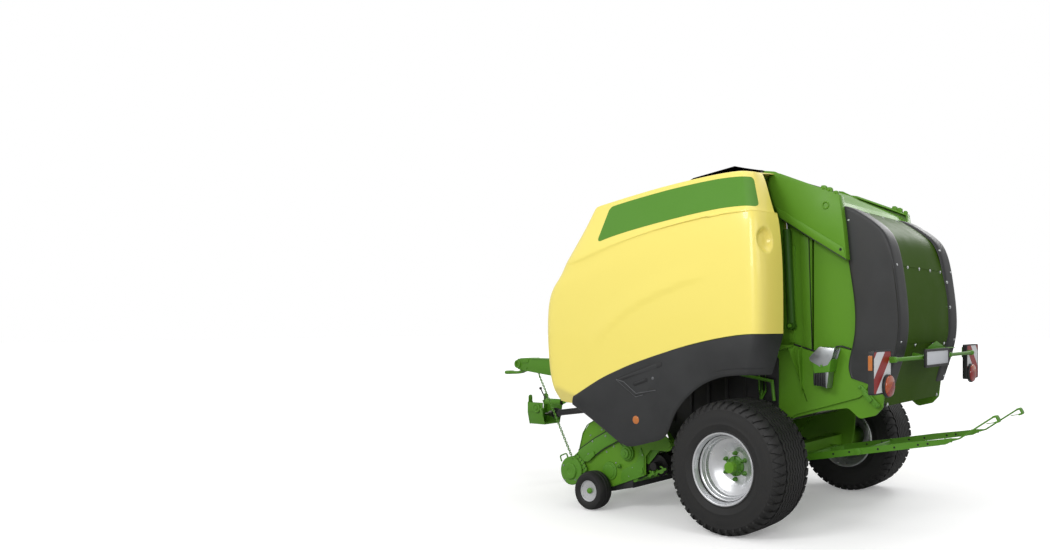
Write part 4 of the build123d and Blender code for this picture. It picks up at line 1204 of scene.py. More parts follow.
white_sheet = reflective("white_reflective_sheet", "#D6D8DA", 0.35, index=1.5)
red_sheet = reflective("red_reflective_sheet", "#8E1A1A", 0.32, index=1.5)
red_lens = reflective("red_lamp_lens", "#8A1310", 0.12, coat=0.6)
amber_lens = reflective("amber_lamp_lens", "#A8481A", 0.12, coat=0.6)
for finish, cell in ((white_sheet, 0.006), (red_sheet, 0.006), (red_lens, 0.01), (amber_lens, 0.01), (amber, 0.008)):
    add_prisms(finish, cell)

BOARD_LOW, BOARD_HIGH = (0.858, 1.145), (1.177, 1.463)
BOARD_BACK, BOARD_FACE = 1.186, 1.227

def clipped(outline, keep):
    """The part of an outline where keep(point) is positive."""
    out = []
    for a, b in zip(outline, outline[1:] + outline[:1]):
        one, two = keep(a), keep(b)
        if one >= 0:
            out.append(a)
        if one * two < 0:
            t = one / (one - two)
            out.append((a[0] + (b[0] - a[0]) * t, a[1] + (b[1] - a[1]) * t))
    return out

(x0, z0), (x1, z1) = BOARD_LOW, BOARD_HIGH
FIELD = rectangle(x0 + 0.01, z0 + 0.01, x1 - 0.01, z1 - 0.01)

@for_both_hands(charcoal, "tailgate", edge=0.002)
def board_housing(bm):
    outer, inner = rounded(rectangle(x0, z0, x1, z1), 0.022), rounded(FIELD, 0.014)
    slab(bm, "y", outer, BOARD_BACK, BOARD_FACE - 0.004)
    rings = [[(a, BOARD_FACE - 0.004, b) for a, b in outer],
             [(a * 0.998 + 0.002, BOARD_FACE + 0.003, b * 0.999 + 0.0013) for a, b in outer],
             [(a, BOARD_FACE + 0.003, b) for a, b in inner],
             [(a, BOARD_FACE - 0.002, b) for a, b in inner]]
    join_rings(bm, [[bm.verts.new(place) for place in ring] for ring in rings], capped=False)
    slab(bm, "y", rectangle(x0 + 0.075, z0 + 0.2, x0 + 0.155, z0 + 0.29), BOARD_BACK - 0.012, BOARD_BACK + 0.002)
    bmesh.ops.recalc_face_normals(bm, faces=bm.faces)

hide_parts("warning_boards")

def stripes(bm, red):
    top = x1 + z1 - 0.02
    marks = [top - 0.055, top - 0.195, top - 0.335, top - 0.475]
    bands = [(marks[1], marks[0]), (marks[3], marks[2])]
    if red:
        bands = [(marks[0], 9), (marks[2], marks[1]), (-9, marks[3])]
    for low, high in bands:
        part = clipped(clipped(FIELD, lambda p: p[0] + p[1] - low), lambda p: high - p[0] - p[1])
        if len(part) > 2:
            slab(bm, "y", part, BOARD_FACE - 0.003, BOARD_FACE + 0.0005)

both_hands("board_white", lambda bm: stripes(bm, False), white_sheet, "tailgate", slot="silver_rim", edge=0.0003,
    segments=1)
both_hands("board_red", lambda bm: stripes(bm, True), red_sheet, "tailgate", edge=0.0003, segments=1)

@for_both_hands(amber, "tailgate", edge=0.0015)
def board_side_reflector(bm):
    plate(bm, rectangle(1.19, 1.322, 1.222, 1.428), 0.004, x1 - 0.002, x1 + 0.008)

LAMP = (0.945, BOARD_FACE, 1.2)

LAMP_BASE = [(0, -0.002), (0.083, -0.002), (0.086, 0.004), (0.086, 0.02), (0.082, 0.025), (0, 0.025)]
LENS = [(0, 0.02), (0.078, 0.02), (0.079, 0.03), (0.076, 0.036), (0.062, 0.041), (0.035, 0.044), (0, 0.045)]

def lens(bm, keep):
    """The lens cut by a slanting plane; keep is 1 for the outer share and -1 for the inner."""
    turned(bm, LENS, LAMP, "y", 48)
    geometry = bm.verts[:] + bm.edges[:] + bm.faces[:]
    cut = bmesh.ops.bisect_plane(bm, geom=geometry, plane_co=(LAMP[0] + 0.004, 0, LAMP[2] + 0.004),
                                 plane_no=(1, 0, 1.15), clear_inner=keep > 0, clear_outer=keep < 0)
    bmesh.ops.holes_fill(bm, edges=[e for e in cut["geom_cut"] if isinstance(e, bmesh.types.BMEdge)])

both_hands("lamp_base", lambda bm: turned(bm, LAMP_BASE, LAMP, "y", 48), black_moulding, "tailgate", edge=0.0015)
both_hands("lamp_lens_red", lambda bm: lens(bm, -1), red_lens, "tailgate", crease=40)
both_hands("lamp_lens_amber", lambda bm: lens(bm, 1), amber_lens, "tailgate", crease=40)

@for_both_hands(tool_green, "tailgate", edge=0.002)
def board_bracket(bm):
    block(bm, (0.862, 1.176, 1.345), (0.905, 1.19, 1.44))
    turned(bm, [(0, -0.022), (0.021, -0.022), (0.022, -0.018), (0.022, 0.014), (0.02, 0.018), (0, 0.018)],
        (0.88, 1.265, 1.39), "x", 28)
    slab(bm, "z", rectangle(0.864, 1.186, 0.896, 1.262), 1.368, 1.412)

bm = bmesh.new()
rod(bm, 0.0155, -0.868, 0.868, (0, 1.265, 1.39), "x", 24)
for x in (-0.3, 0.3):
    plate(bm, [(1.15, 1.36), (1.28, 1.372), (1.288, 1.405), (1.17, 1.425)], 0.012, x - 0.004, x + 0.004)
    rod(bm, 0.022, x - 0.02, x + 0.02, (0, 1.265, 1.39), "x", 24)
make("lamp_carrier_tube", bm, tool_green, "tailgate", edge=0.0015, stands_for=["light_bar"])


# %% Number plate
plate_white = painted("white_enamel_on_plate", "#C9CCD2", 0.35, peel=0.01, dusty=0.03, slot="silver_rim")
PLATE_LOW, PLATE_HIGH = (-0.15, 1.322), (0.352, 1.44)
(x0, z0), (x1, z1) = PLATE_LOW, PLATE_HIGH
bm = bmesh.new()
slab(bm, "y", rounded(rectangle(x0, z0, x1, z1), 0.01), 1.302, 1.3065)
make("number_plate_blank", bm, plate_white, "tailgate", edge=0.0012)
bm = bmesh.new()
outer = rounded(rectangle(x0 - 0.014, z0 - 0.014, x1 + 0.014, z1 + 0.014), 0.016)
inner = rounded(rectangle(x0 + 0.006, z0 + 0.006, x1 - 0.006, z1 - 0.006), 0.008)
levels = ((outer, 1.29), (outer, 1.309), (inner, 1.311), (inner, 1.304))
join_rings(bm, [[bm.verts.new((a, y, b)) for a, b in line] for line, y in levels], closed=True)
make("number_plate_frame", bm, black_moulding, "tailgate", edge=0.0012, stands_for=["plate_holder"])
bm = bmesh.new()
slab(bm, "y", rounded(rectangle(x0, z0, x1, z1), 0.008), 1.284, 1.301)
for x in (-0.06, 0.26):
    slab(bm, "x", rectangle(1.255, 1.345, 1.285, 1.43), x - 0.015, x + 0.015)
slab(bm, "y", rounded([(0.09, 1.452), (-0.36, 1.452), (-0.155, 1.51)], (0.012, 0.012, 0.035)), 1.196, 1.202)
slab(bm, "z", rectangle(0.09, 1.196, -0.36, 1.29), 1.448, 1.454)
make("number_plate_bracket", bm, tool_green, "tailgate", edge=0.002)

# %% [markdown]
# ## Tailgate arms and walls
# The arm is a folded plate that laps over the wall below it. What the eye reads is
# the folded strip along its lower edge, the dark joint under the strip, a raised
# boss and the hinge knuckles on top. On the wall itself a shallow channel runs down
# as a stiffener. They are slabs and turned parts laid on the frame's own plates.

# %% Arms and walls
def strip_along(bm, line, width, inner, outer):
    """A flat strip in the side view, following a line, from X inner to X outer."""
    side_bar(bm, (inner + outer) / 2, line, flat(width, outer - inner))

ARM_OUT = 0.716

@for_both_hands(wall_green, "tailgate", edge=0.0025)
def arm_plate(bm):
    outer = [(0.08, 2.905), (0.182, 2.886), (0.576, 2.732), (0.722, 2.672), (0.76, 2.42), (0.788, 2.16),
        (0.538, 2.306), (0.359, 2.413), (0.178, 2.524), (0.12, 2.64), (0.07, 2.79)]
    plate(bm, outer, (0.03, 0.02, 0.02, 0.02, 0.02, 0, 0, 0, 0.02, 0.03, 0.03), ARM_OUT, ARM_OUT + 0.006)
    slab(bm, "x", [(0.145, 2.612), (0.762, 2.254), (0.787, 2.164), (0.538, 2.31), (0.359, 2.417), (0.18, 2.528)],
        ARM_OUT + 0.006, ARM_OUT + 0.0115)
    slab(bm, "x", [(0.76, 2.42), (0.788, 2.16), (0.782, 2.158), (0.754, 2.418)], 0.64, ARM_OUT + 0.001)
    slab(bm, "x", [(0.722, 2.672), (0.76, 2.42), (0.754, 2.418), (0.716, 2.668)], 0.64, ARM_OUT + 0.001)
    slab(bm, "x", [(0.08, 2.899), (0.182, 2.88), (0.576, 2.726), (0.722, 2.666), (0.718, 2.655), (0.574, 2.715),
        (0.18, 2.869), (0.08, 2.888)], 0.64, ARM_OUT + 0.001)
    turned(bm, [(0.022, 0.0), (0.031, 0.0), (0.032, 0.006), (0.029, 0.009), (0.024, 0.009), (0.022, 0.006)],
        (ARM_OUT + 0.005, 0.604, 2.597), "x", 32, closed=True)

@for_both_hands(wall_green, "tailgate", edge=0.002)
def arm_knuckles(bm):
    turned(bm, [(0, -0.034), (0.058, -0.034), (0.06, 0.006), (0.05, 0.012), (0.036, 0.012), (0.034, 0.02),
        (0.026, 0.022), (0, 0.022)], (0.634, 0.06, 2.85), "x", 40)
    for y, z, r in ((0.58, 2.735, 0.022), (0.632, 2.716, 0.022), (0.69, 2.69, 0.016)):
        plate(bm, [(y - r * 1.2, z - r * 1.2), (y + r * 1.2, z - r * 1.7), (y + r, z + r), (y - r, z + r * 1.1)],
            r * 0.7, 0.69, ARM_OUT + 0.004)
        turned(bm, [(0, -0.004), (r * 0.5, -0.004), (r * 0.5, 0.006), (0, 0.007)], (ARM_OUT + 0.005, y, z), "x", 6)

@for_both_hands(wall_green, "tailgate", edge=0.0025)
def wall_channel(bm):
    slab(bm, "x", [(0.31, 2.405), (0.392, 2.36), (0.424, 1.434), (0.351, 1.452)], 0.618, 0.6265)

@for_both_hands(black_moulding, "tailgate")
def wall_joint_seal(bm):
    strip_along(bm, [(0.178, 2.521), (0.359, 2.41), (0.538, 2.303), (0.787, 2.157)], 0.007, ARM_OUT - 0.002,
        ARM_OUT + 0.004)
    strip_along(bm, [(0.395, 2.35), (0.427, 1.434)], 0.0055, 0.6195, 0.6262)
    strip_along(bm, [(0.262, 1.487), (0.445, 1.437), (0.604, 1.397), (0.655, 1.474), (0.7, 1.478), (0.78, 1.456)],
        0.009, 0.6195, 0.64)

@for_both_hands(wall_green, "frame", edge=0.002)
def plate_gusset(bm):
    top, foot = [(0.205, 1.474), (0.262, 1.474)], (0.388, 1.02)
    back = [bm.verts.new((0.64, y, z)) for y, z in top + [foot]]
    ridge = [bm.verts.new((0.7, 0.236, 1.474)), bm.verts.new((0.6405, foot[0] + 0.002, foot[1] + 0.004))]
    bm.faces.new((back[0], back[1], ridge[0]))
    bm.faces.new((back[1], back[2], ridge[1], ridge[0]))
    bm.faces.new((back[2], back[0], ridge[0], ridge[1]))
    bm.faces.new(back[:3])
    bmesh.ops.recalc_face_normals(bm, faces=bm.faces)
    plate(bm, [(0.12, 1.48), (0.262, 1.48), (0.262, 1.462), (0.12, 1.43)], 0.006, 0.64, 0.712)

@for_both_hands(tool_green, "frame", edge=0.0015)
def door_latch(bm):
    plate(bm, [(0.85, 1.168), (0.882, 1.176), (1.046, 1.02), (1.02, 0.998), (0.985, 1.01)], 0.012, 0.64, 0.652)
    plate(bm, [(0.892, 1.11), (0.925, 1.128), (0.985, 1.062), (0.955, 1.04)], 0.01, 0.652, 0.67)
    for y, z in ((0.868, 1.158), (0.94, 1.084), (1.02, 1.02)):
        turned(bm, [(0, 0), (0.014, 0), (0.014, 0.01), (0.009, 0.014), (0, 0.014)], (0.652, y, z), "x", 6)

spots = [((ARM_OUT + 0.0115, 0.738, 2.24), (1, 0, 0), (0, 1, 0))]
spots += [((-x, y, z), (-1, 0, 0), (0, 1, 0)) for (x, y, z), _, _ in spots]
make_copies("arm_screws", hex_screw(0.008), spots, dark_steel, "tailgate", slot="zinc_steel")

# %% [markdown]
# ## Folding wheel chocks
# A folded chock is a little ladder: two zinc-plated cheeks with rungs between them,
# hung in a green pocket, with its black ribbed foot hanging below. It is built as
# those pieces.

# %% Chocks in their pockets
CHEEK = [(0.47, 1.385), (0.562, 1.472), (0.702, 1.462), (0.678, 1.388), (0.64, 1.33), (0.575, 1.312), (0.484, 1.358)]

@for_both_hands(zinc, "frame", edge=0.0012)
def chock_ladder(bm):
    for x in (0.652, 0.752):
        slab(bm, "x", rounded(CHEEK, 0.01, 3), x, x + 0.006)
    for (y0, z0), (y1, z1), count in ((CHEEK[0], CHEEK[1], 4), (CHEEK[1], CHEEK[2], 5)):
        for k in range(count):
            t = (k + 0.35) / count
            y, z = y0 + (y1 - y0) * t, z0 + (z1 - z0) * t
            slope = math.atan2(z1 - z0, y1 - y0)
            slab(bm, "x", tilted(rectangle(-0.008, -0.012, 0.012, 0.001), (y, z), slope), 0.656, 0.753)
    for inner, outer in ((0.668, 0.69), (0.716, 0.74)):
        slab(bm, "x", [(0.5, 1.36), (0.566, 1.44), (0.68, 1.43), (0.655, 1.37), (0.6, 1.33)], inner, outer)

@for_both_hands(tool_green, "frame", edge=0.002)
def chock_pocket(bm):
    plate(bm, [(0.505, 1.372), (0.668, 1.378), (0.655, 1.275), (0.515, 1.262)], 0.006, 0.64, 0.757)
    plate(bm, [(0.49, 1.392), (0.53, 1.392), (0.52, 1.24), (0.5, 1.24)], 0.006, 0.637, 0.642)
    turned(bm, [(0, 0), (0.011, 0), (0.011, 0.007), (0, 0.008)], (0.757, 0.585, 1.322), "x", 6)

@for_both_hands(black_moulding, "frame", edge=0.0012)
def chock_foot(bm):
    slab(bm, "x", [(0.504, 1.282), (0.612, 1.282), (0.624, 1.15), (0.505, 1.172)], 0.66, 0.746)
    for k in range(5):
        y = 0.514 + k * 0.022
        slab(bm, "x", [(y, 1.276), (y + 0.01, 1.276), (y + 0.011, 1.16), (y + 0.001, 1.164)], 0.744, 0.754)

@for_both_hands(zinc, "frame", edge=0.0012)
def chock_side(bm):
    plate(bm, [(0.614, 1.284), (0.647, 1.3), (0.628, 1.146), (0.618, 1.148)], 0.004, 0.658, 0.75)

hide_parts("wheel_chocks")
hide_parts("chock_holders")

# %% [markdown]
# ## Inside the wheel arch
# Behind each wheel the wall is lined with a ribbed black sheet, and a few pipes run
# over it. They are seen only between tyre and skirt, so they stay simple.

# %% Arch liner and pipes
# The liner is a splash liner, and its black also paints the deep shade inside the arch.
@for_both_hands(black_moulding, "frame", edge=0.002)
def wheel_arch_liner(bm):
    edge = [(0.124, 1.38), (0.124, 0.92), (0.1, 0.64), (-0.09, 0.46), (-0.3, 0.56), (-0.46, 0.575), (-0.64, 0.45),
        (-0.88, 0.52), (-1.06, 0.72), (-1.24, 0.96), (-1.2, 1.38)]
    plate(bm, edge, (0.03, 0.04, 0.06, 0.05, 0.05, 0.05, 0.06, 0.06, 0.05, 0.05, 0.05), 0.6445, 0.65)
    for k in range(6):
        y = -0.98 + k * 0.19
        plate(bm, rectangle(y, 0.78, y + 0.03, 1.34), 0.012, 0.65, 0.66)

@for_both_hands(tool_green, "frame", crease=50)
def wheel_arch_pipes(bm):
    for k, y in enumerate((-0.06, -0.03, 0.004)):
        bar(bm, [(0.672, y, 1.36), (0.674, y + 0.01, 1.1), (0.68, y + 0.035 - 0.07 * k, 0.9),
            (0.676, y - 0.05, 0.69)], circle(0.009, 8))
    bar(bm, [(0.7, -1.1, 1.18), (0.7, -0.3, 1.24), (0.7, 0.09, 1.18), (0.7, 0.11, 1.02)], circle(0.014, 10))

# The cylinder barrels get a darker green than the other green parts: painted shade, for the barrels sit in the shadow
# of the hood.
painted_shade_green = painted("green_enamel_darkened_as_painted_shade", "#2E5412", 0.4, dusty=0.02, shine=0.2)
for name in ("cylinder_barrel_left", "cylinder_barrel_right"):
    for slot in bpy.data.objects[name].material_slots:
        slot.material = painted_shade_green
print("pieces so far:", len(made_triangles))

# %% [markdown]
# ## Pick-up
# The pick-up lifts the swath with spring tines that turn between steel bands. Each
# band is one U of flat bar and each tine one bent wire, so both are drawn once and
# copied. The side plates carry pressed layers, bosses and screws. A dark flap and two
# dark side strips close the space behind the bands: painted shade, standing in for
# the shadow under the pick-up.

# %% Side plates
@for_both_hands(tool_green, "pickup", edge=0.002)
def pickup_layers(bm):
    plate(bm, [(-1.106, 0.574), (-1.151, 0.442), (-1.318, 0.354), (-1.335, 0.29), (-1.32, 0.246), (-1.068, 0.34),
        (-1.068, 0.497), (-1.092, 0.548)], (0.004, 0.03, 0.02, 0.02, 0.02, 0.02, 0.02, 0.01), 0.939, 0.9475)
    turned(bm, [(0.06, -0.002), (0.06, 0.012), (0.056, 0.016), (0.046, 0.016), (0.043, 0.02), (0.042, 0.032),
        (0.036, 0.036), (0.02, 0.036), (0.018, 0.042), (0, 0.042)], (0.9625, -1.249, 0.516), "x", 40)
    turned(bm, [(0.082, -0.002), (0.082, 0.008), (0.078, 0.011), (0.062, 0.011), (0.058, 0.018), (0.03, 0.02),
        (0, 0.02)], (0.94, -1.465, 0.338), "x", 40)
    turned(bm, [(0.016, 0), (0.016, 0.026), (0.009, 0.028), (0.009, 0.044), (0, 0.045)], (0.94, -1.345, 0.392), "x",
        20)
    plate(bm, [(-1.15, 0.372), (-1.08, 0.396), (-1.072, 0.352), (-1.1, 0.338)], 0.008, 0.947, 0.957)
    side_bar(bm, 0.9425, ((-1.842, 0.435), (-1.832, 0.51), (-1.79, 0.655), (-1.735, 0.735), (-1.65, 0.78),
        (-1.48, 0.797)), flat(0.004, 0.012))
    side_bar(bm, 0.9435, ((-1.41, 0.212), (-1.062, 0.338)), flat(0.01, 0.014))

def side_spots(places, x):
    return [((hand * x, y, z), (hand, 0, 0), (0, 1, 0)) for hand in (1, -1) for y, z in places]

PLATE_SCREWS = [(-1.3, 0.585), (-1.42, 0.56), (-1.505, 0.505), (-1.56, 0.7), (-1.7, 0.64), (-1.395, 0.415),
    (-1.525, 0.38), (-1.2, 0.39), (-1.12, 0.365), (-1.088, 0.51), (-1.24, 0.31), (-1.01, 0.64), (-0.93, 0.65)]
make_copies("pickup_screws", hex_screw(0.0055), side_spots(PLATE_SCREWS, 0.9402), zinc, "pickup", crease=30)

@for_both_hands(tool_green, "pickup", edge=0.0015)
def pickup_corner_plate(bm):
    plate(bm, [(-1.14, 0.565), (-0.865, 0.622), (-1.045, 0.425), (-1.085, 0.44)], (0.01, 0.03, 0.02, 0.02), 0.905,
        0.912)
    rod(bm, 0.016, 0, 0.004, (0.912, -1.05, 0.5), "x", 20)

@for_both_hands(tool_green, "pickup", crease=40)
def tine_guard_hooks(bm):
    for y, z in ((-1.052, 0.345), (-0.985, 0.366), (-0.918, 0.388)):
        curl = [(0.9, y + 0.026 * math.cos(a), z + 0.026 * math.sin(a))
            for a in np.linspace(math.radians(-150), math.radians(110), 12)]
        bar(bm, curl, flat(0.016, 0.006), up=(1, 0, 0))
        bar(bm, [curl[0], (0.9, y - 0.075, z - 0.045)], flat(0.016, 0.006), up=(1, 0, 0))
    rod(bm, 0.012, 0.86, 0.93, (0, -0.985, 0.366), "x", 16)
    bar(bm, [(0.9, -1.127, 0.3), (0.9, -0.86, 0.402)], flat(0.02, 0.008), up=(1, 0, 0))

# %% Bands, tubes and floor
REEL, BAND_R, PICKUP_INSIDE = (-1.45, 0.33), 0.18, 0.93

def flat_band():
    bm = bmesh.new()
    arc = [(-BAND_R * math.cos(a), -BAND_R * math.sin(a)) for a in np.linspace(math.radians(62), math.radians(-80),
        13)]
    line = [(-0.05, -0.172)] + arc + [(0.24, BAND_R + 0.036)]
    rings = []
    for i, (y, z) in enumerate(line):
        ahead = Vector(line[min(i + 1, len(line) - 1)]) - Vector(line[max(i - 1, 0)])
        out = Vector((ahead.y, -ahead.x)).normalized() * 0.002
        corners = rectangle(-0.017, -1, 0.017, 1)
        rings.append([bm.verts.new((x, y + s * out.x, z + s * out.y)) for x, s in corners])
    join_rings(bm, rings)
    return bm

BANDS = 27
band_x = [-PICKUP_INSIDE + 0.03 + k * (2 * PICKUP_INSIDE - 0.06) / (BANDS - 1) for k in range(BANDS)]
straw_worn_steel = metallic("straw_worn_steel", "#4C4E50", "#38393A", 0.46, metal=0.6, slot="bare_steel")
spots = [((x, *REEL), (0, 0, 1), (1, 0, 0)) for x in band_x]
make_copies("pickup_bands", flat_band(), spots, straw_worn_steel, "pickup", crease=40)

# Painted shade: the flap and side strips are black so that the space under the reel reads as the shadow beneath it.
bm = bmesh.new()
plate(bm, [(REEL[0] + 0.236, 0.206), (REEL[0] + 0.243, 0.206), (REEL[0] + 0.25, 0.272), (REEL[0] + 0.243, 0.272)],
    0.002, -0.93, 0.93)
for low, high in ((-0.9345, -0.9305), (0.9305, 0.9345)):
    slab(bm, "x", [(-1.52, 0.19), (-1.5, 0.156), (-1.44, 0.158), (-1.203, 0.212), (-1.203, 0.29), (-1.3, 0.262)], low,
        high)
make("pickup_rear_flap", bm, black_moulding, "pickup", edge=0.001)
bm = bmesh.new()
for y, z, r in ((-1.19, 0.3, 0.04), (-1.2, 0.56, 0.032)):
    rod(bm, r, -0.93, 0.93, (0, y, z), "x", 32)
make("pickup_tubes", bm, tool_green, "pickup", edge=0.001, stands_for=["pickup_frame"])
bm = bmesh.new()
floor_line = [(-1.232, 0.252), (-1.15, 0.286), (-1.06, 0.326)]
slab(bm, "x", floor_line + [(y - 0.002, z + 0.006) for y, z in floor_line[::-1]], -0.926, 0.926)
slab(bm, "x", [(-1.535, 0.14), (-1.5, 0.146), (-1.5, 0.152), (-1.535, 0.146)], -0.926, 0.926)
make("pickup_floor", bm, dark_steel, "pickup", edge=0.0012)

# %% [markdown]
# Two short augers behind the reel pull the crop in from both ends. A flight is a
# helical ribbon between a small and a large radius, so it is swept by its angle.

# %% Side augers
AUGER = (-0.985, 0.415)

# The augers are in near-black steel: painted shade, so that they read as the dark space behind the reel.
@for_both_hands(dark_steel, "pickup", crease=40)
def side_auger(bm):
    rod(bm, 0.036, 0.62, 0.925, (0, *AUGER), "x", 24)
    steps, turns, thick = 72, 2.6, 0.003
    rings = []
    for k in range(steps + 1):
        angle, x = math.tau * turns * k / steps, 0.635 + 0.275 * k / steps
        c, s = math.cos(angle), math.sin(angle)
        corners = rectangle(0.034, -thick, 0.098, thick)
        rings.append([bm.verts.new((x + d, AUGER[0] + r * c, AUGER[1] + r * s)) for r, d in corners])
    join_rings(bm, rings)

# %% Reel with its tines
bm = bmesh.new()
rod(bm, 0.045, -0.922, 0.922, (0, *REEL), "x", 32)
for quarter in range(4):
    angle = math.radians(45 + 90 * quarter)
    rod(bm, 0.014, -0.91, 0.91, (0, REEL[0] + 0.12 * math.cos(angle), REEL[1] + 0.12 * math.sin(angle)), "x", 12)
for x in (-0.91, -0.304, 0.304, 0.902):
    rod(bm, 0.142, 0, 0.006, (x, *REEL), "x", 32)
make("reel_spider", bm, tool_green, "reel", edge=0.001, stands_for=["pickup_reel"])

def tine():
    bm = bmesh.new()
    loop = [(-0.01 + 0.006 * k / 8, 0.017 * math.cos(k * math.tau / 8), 0.017 * math.sin(k * math.tau / 8))
        for k in range(13)]
    bar(bm, loop + [(0.0, 0.006, 0.045), (0.001, 0.0, 0.078)], circle(0.0028, 5), up=(1, 0, 0))
    return bm

spots = []
for quarter in range(4):
    angle = math.radians(45 + 90 * quarter)
    out = Vector((0, math.cos(angle), math.sin(angle)))
    for one, two in zip(band_x, band_x[1:]):
        spots.append((((one + two) / 2, REEL[0] + 0.12 * out.y, REEL[1] + 0.12 * out.z), tuple(out), (1, 0, 0)))
make_copies("reel_tines", tine(), spots, bare_steel, "reel", crease=50)
print("tines:", len(spots))

# %% [markdown]
# ## Crop press
# The round guard in front hides the end of the press roller. A bent strip carries
# it back to the pivot, and a short plate with a grid of holes sets its height.

# %% Press arms and guards
PRESS, PRESS_PIVOT = (-1.9, 0.306), (-1.249, 0.516)

@for_both_hands(tool_green, "crop_press", edge=0.002)
def press_arm(bm):
    outline = [(-1.205, 0.585), (-1.33, 0.668), (-1.462, 0.7), (-1.64, 0.612), (-1.815, 0.505), (-1.89, 0.43),
        (-1.83, 0.37), (-1.672, 0.442), (-1.52, 0.54), (-1.35, 0.62), (-1.19, 0.5)]
    plate(bm, outline, (0.04, 0.03, 0.04, 0.0, 0.0, 0.03, 0.03, 0.0, 0.0, 0.02, 0.04), 0.9525, 0.9615)
    turned(bm, [(0.07, -0.004), (0.07, 0.006), (0.066, 0.009), (0.034, 0.009), (0.034, -0.004)],
        (0.954, *PRESS_PIVOT), "x", 40, closed=True)

@for_both_hands(tool_green, "crop_press", edge=0.0012)
def press_guard(bm):
    turned(bm, [(0, -0.004), (0.128, -0.004), (0.13, 0.0), (0.13, 0.024), (0.126, 0.029), (0.112, 0.031),
        (0.078, 0.031), (0.075, 0.035), (0.074, 0.044), (0.069, 0.049), (0.03, 0.049), (0.026, 0.046), (0, 0.046)],
        (0.9565, *PRESS), "x", 56)

@for_both_hands(tool_green, "crop_press", edge=0.0015)
def press_setting_plate(bm):
    plate(bm, [(-1.9, 0.425), (-1.85, 0.47), (-1.76, 0.4), (-1.715, 0.33), (-1.765, 0.29), (-1.82, 0.345)], 0.014,
        0.961, 0.968)
    plate(bm, [(-1.73, 0.455), (-1.64, 0.505), (-1.622, 0.47), (-1.7, 0.405), (-1.76, 0.4)], 0.01, 0.961, 0.97)

@for_both_hands(tool_green, "crop_press", crease=50)
def press_grab_loop(bm):
    side_bar(bm, 0.962, rounded([(-1.96, 0.415), (-1.978, 0.458), (-2.06, 0.428), (-2.04, 0.378)],
        (0, 0.018, 0.018, 0)), circle(0.0065, 8))
    rod(bm, 0.014, -0.96, 0, (0.96, -1.96, 0.412), "x", 16)

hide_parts("crop_press_arms")

@for_both_hands(black_moulding, "crop_press")
def press_arm_shadow_seal(bm):
    strip_along(bm, [(-1.835, 0.495), (-1.815, 0.512), (-1.64, 0.619), (-1.465, 0.708), (-1.33, 0.676)], 0.006,
        0.9515, 0.959)
    strip_along(bm, [(-1.83, 0.363), (-1.672, 0.435), (-1.52, 0.533), (-1.35, 0.613), (-1.19, 0.493)], 0.006, 0.9515,
        0.959)

# The holes are dark discs on the plate: painted shade in place of openings.
bm = bmesh.new()
rod(bm, 0.0065, 0, 0.0012, (0, 0, 0), "z", 10)
holes = []
for row in range(5):
    for column in range(3):
        y, z = -1.872 + row * 0.026 + column * 0.018, 0.428 - row * 0.026 + column * 0.016
        holes.append((y, z))
make_copies("press_plate_holes", bm, side_spots(holes, 0.968), dark_steel, "crop_press")
make_copies("press_screws", hex_screw(0.006), side_spots([(-1.655, 0.59), (-1.5, 0.65), (-1.4, 0.655), (-1.705, 0.47),
    (-1.66, 0.47)], 0.9612)
     + side_spots([(-1.99, 0.35), (-1.84, 0.23), (-1.97, 0.215)], 0.9865), zinc, "crop_press", crease=30)

# %% [markdown]
# ## Gauge wheels
# A small plain tyre on a two-piece silver rim, with a green nut in the middle.

# %% Gauge wheels
low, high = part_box("gauge_wheel_left")
GAUGE = Vector(((low.x + high.x) / 2, (low.y + high.y) / 2 - AXLE_Y, (low.z + high.z) / 2))
bm = bmesh.new()
turned(bm, mirrored_profile([(0.088, 0.046), (0.092, 0.058), (0.102, 0.066), (0.12, 0.0725), (0.138, 0.0745),
    (0.15, 0.071), (0.152, 0.0715), (0.154, 0.068), (0.163, 0.056), (0.168, 0.04), (0.17, 0.022), (0.166, 0.02),
    (0.166, 0.016), (0.1705, 0.013), (0.171, 0.0)])
       + [(0.084, -0.044), (0.084, 0.044)], GAUGE, "x", 64, closed=True)
make("left_gauge_tyre", bm, tyre_rubber, "left_gauge_wheel", "small_tyre", crease=32, stands_for=["gauge_wheel_left"],
    mirror=True)
bm = bmesh.new()
turned(bm, mirrored_profile([(0.094, 0.05), (0.0955, 0.056), (0.093, 0.06), (0.088, 0.058), (0.084, 0.048),
    (0.078, 0.04), (0.074, 0.028), (0.066, 0.02), (0.046, 0.016), (0.034, 0.02), (0.03, 0.04), (0.022, 0.042)])
       + [(0.021, -0.04), (0.021, 0.04)], GAUGE, "x", 56, closed=True)
make("left_gauge_rim", bm, rim_silver, "left_gauge_wheel", crease=40, mirror=True)
bm = bmesh.new()
turned(bm, [(0, -0.05), (0.02, -0.05), (0.02, 0.04), (0.026, 0.042), (0.027, 0.048), (0.02, 0.06), (0.012, 0.064),
    (0, 0.064)], GAUGE, "x", 28)
make("left_gauge_cap", bm, tool_green, "left_gauge_wheel", crease=40, mirror=True)

# %% [markdown]
# A chain holds the press up in transport. Each link is an oval ring, and every
# second one is turned a quarter. It stands in the scene on no body.

# %% Chain
LINK_PITCH = 0.0355

def link():
    bm = bmesh.new()
    path = rounded(rectangle(-0.021, -0.009, 0.021, 0.009), 0.0088, 3)
    bar(bm, [(a, b, 0) for a, b in path], circle(0.0032, 5), up=(0, 0, 1), loop=True)
    return bm

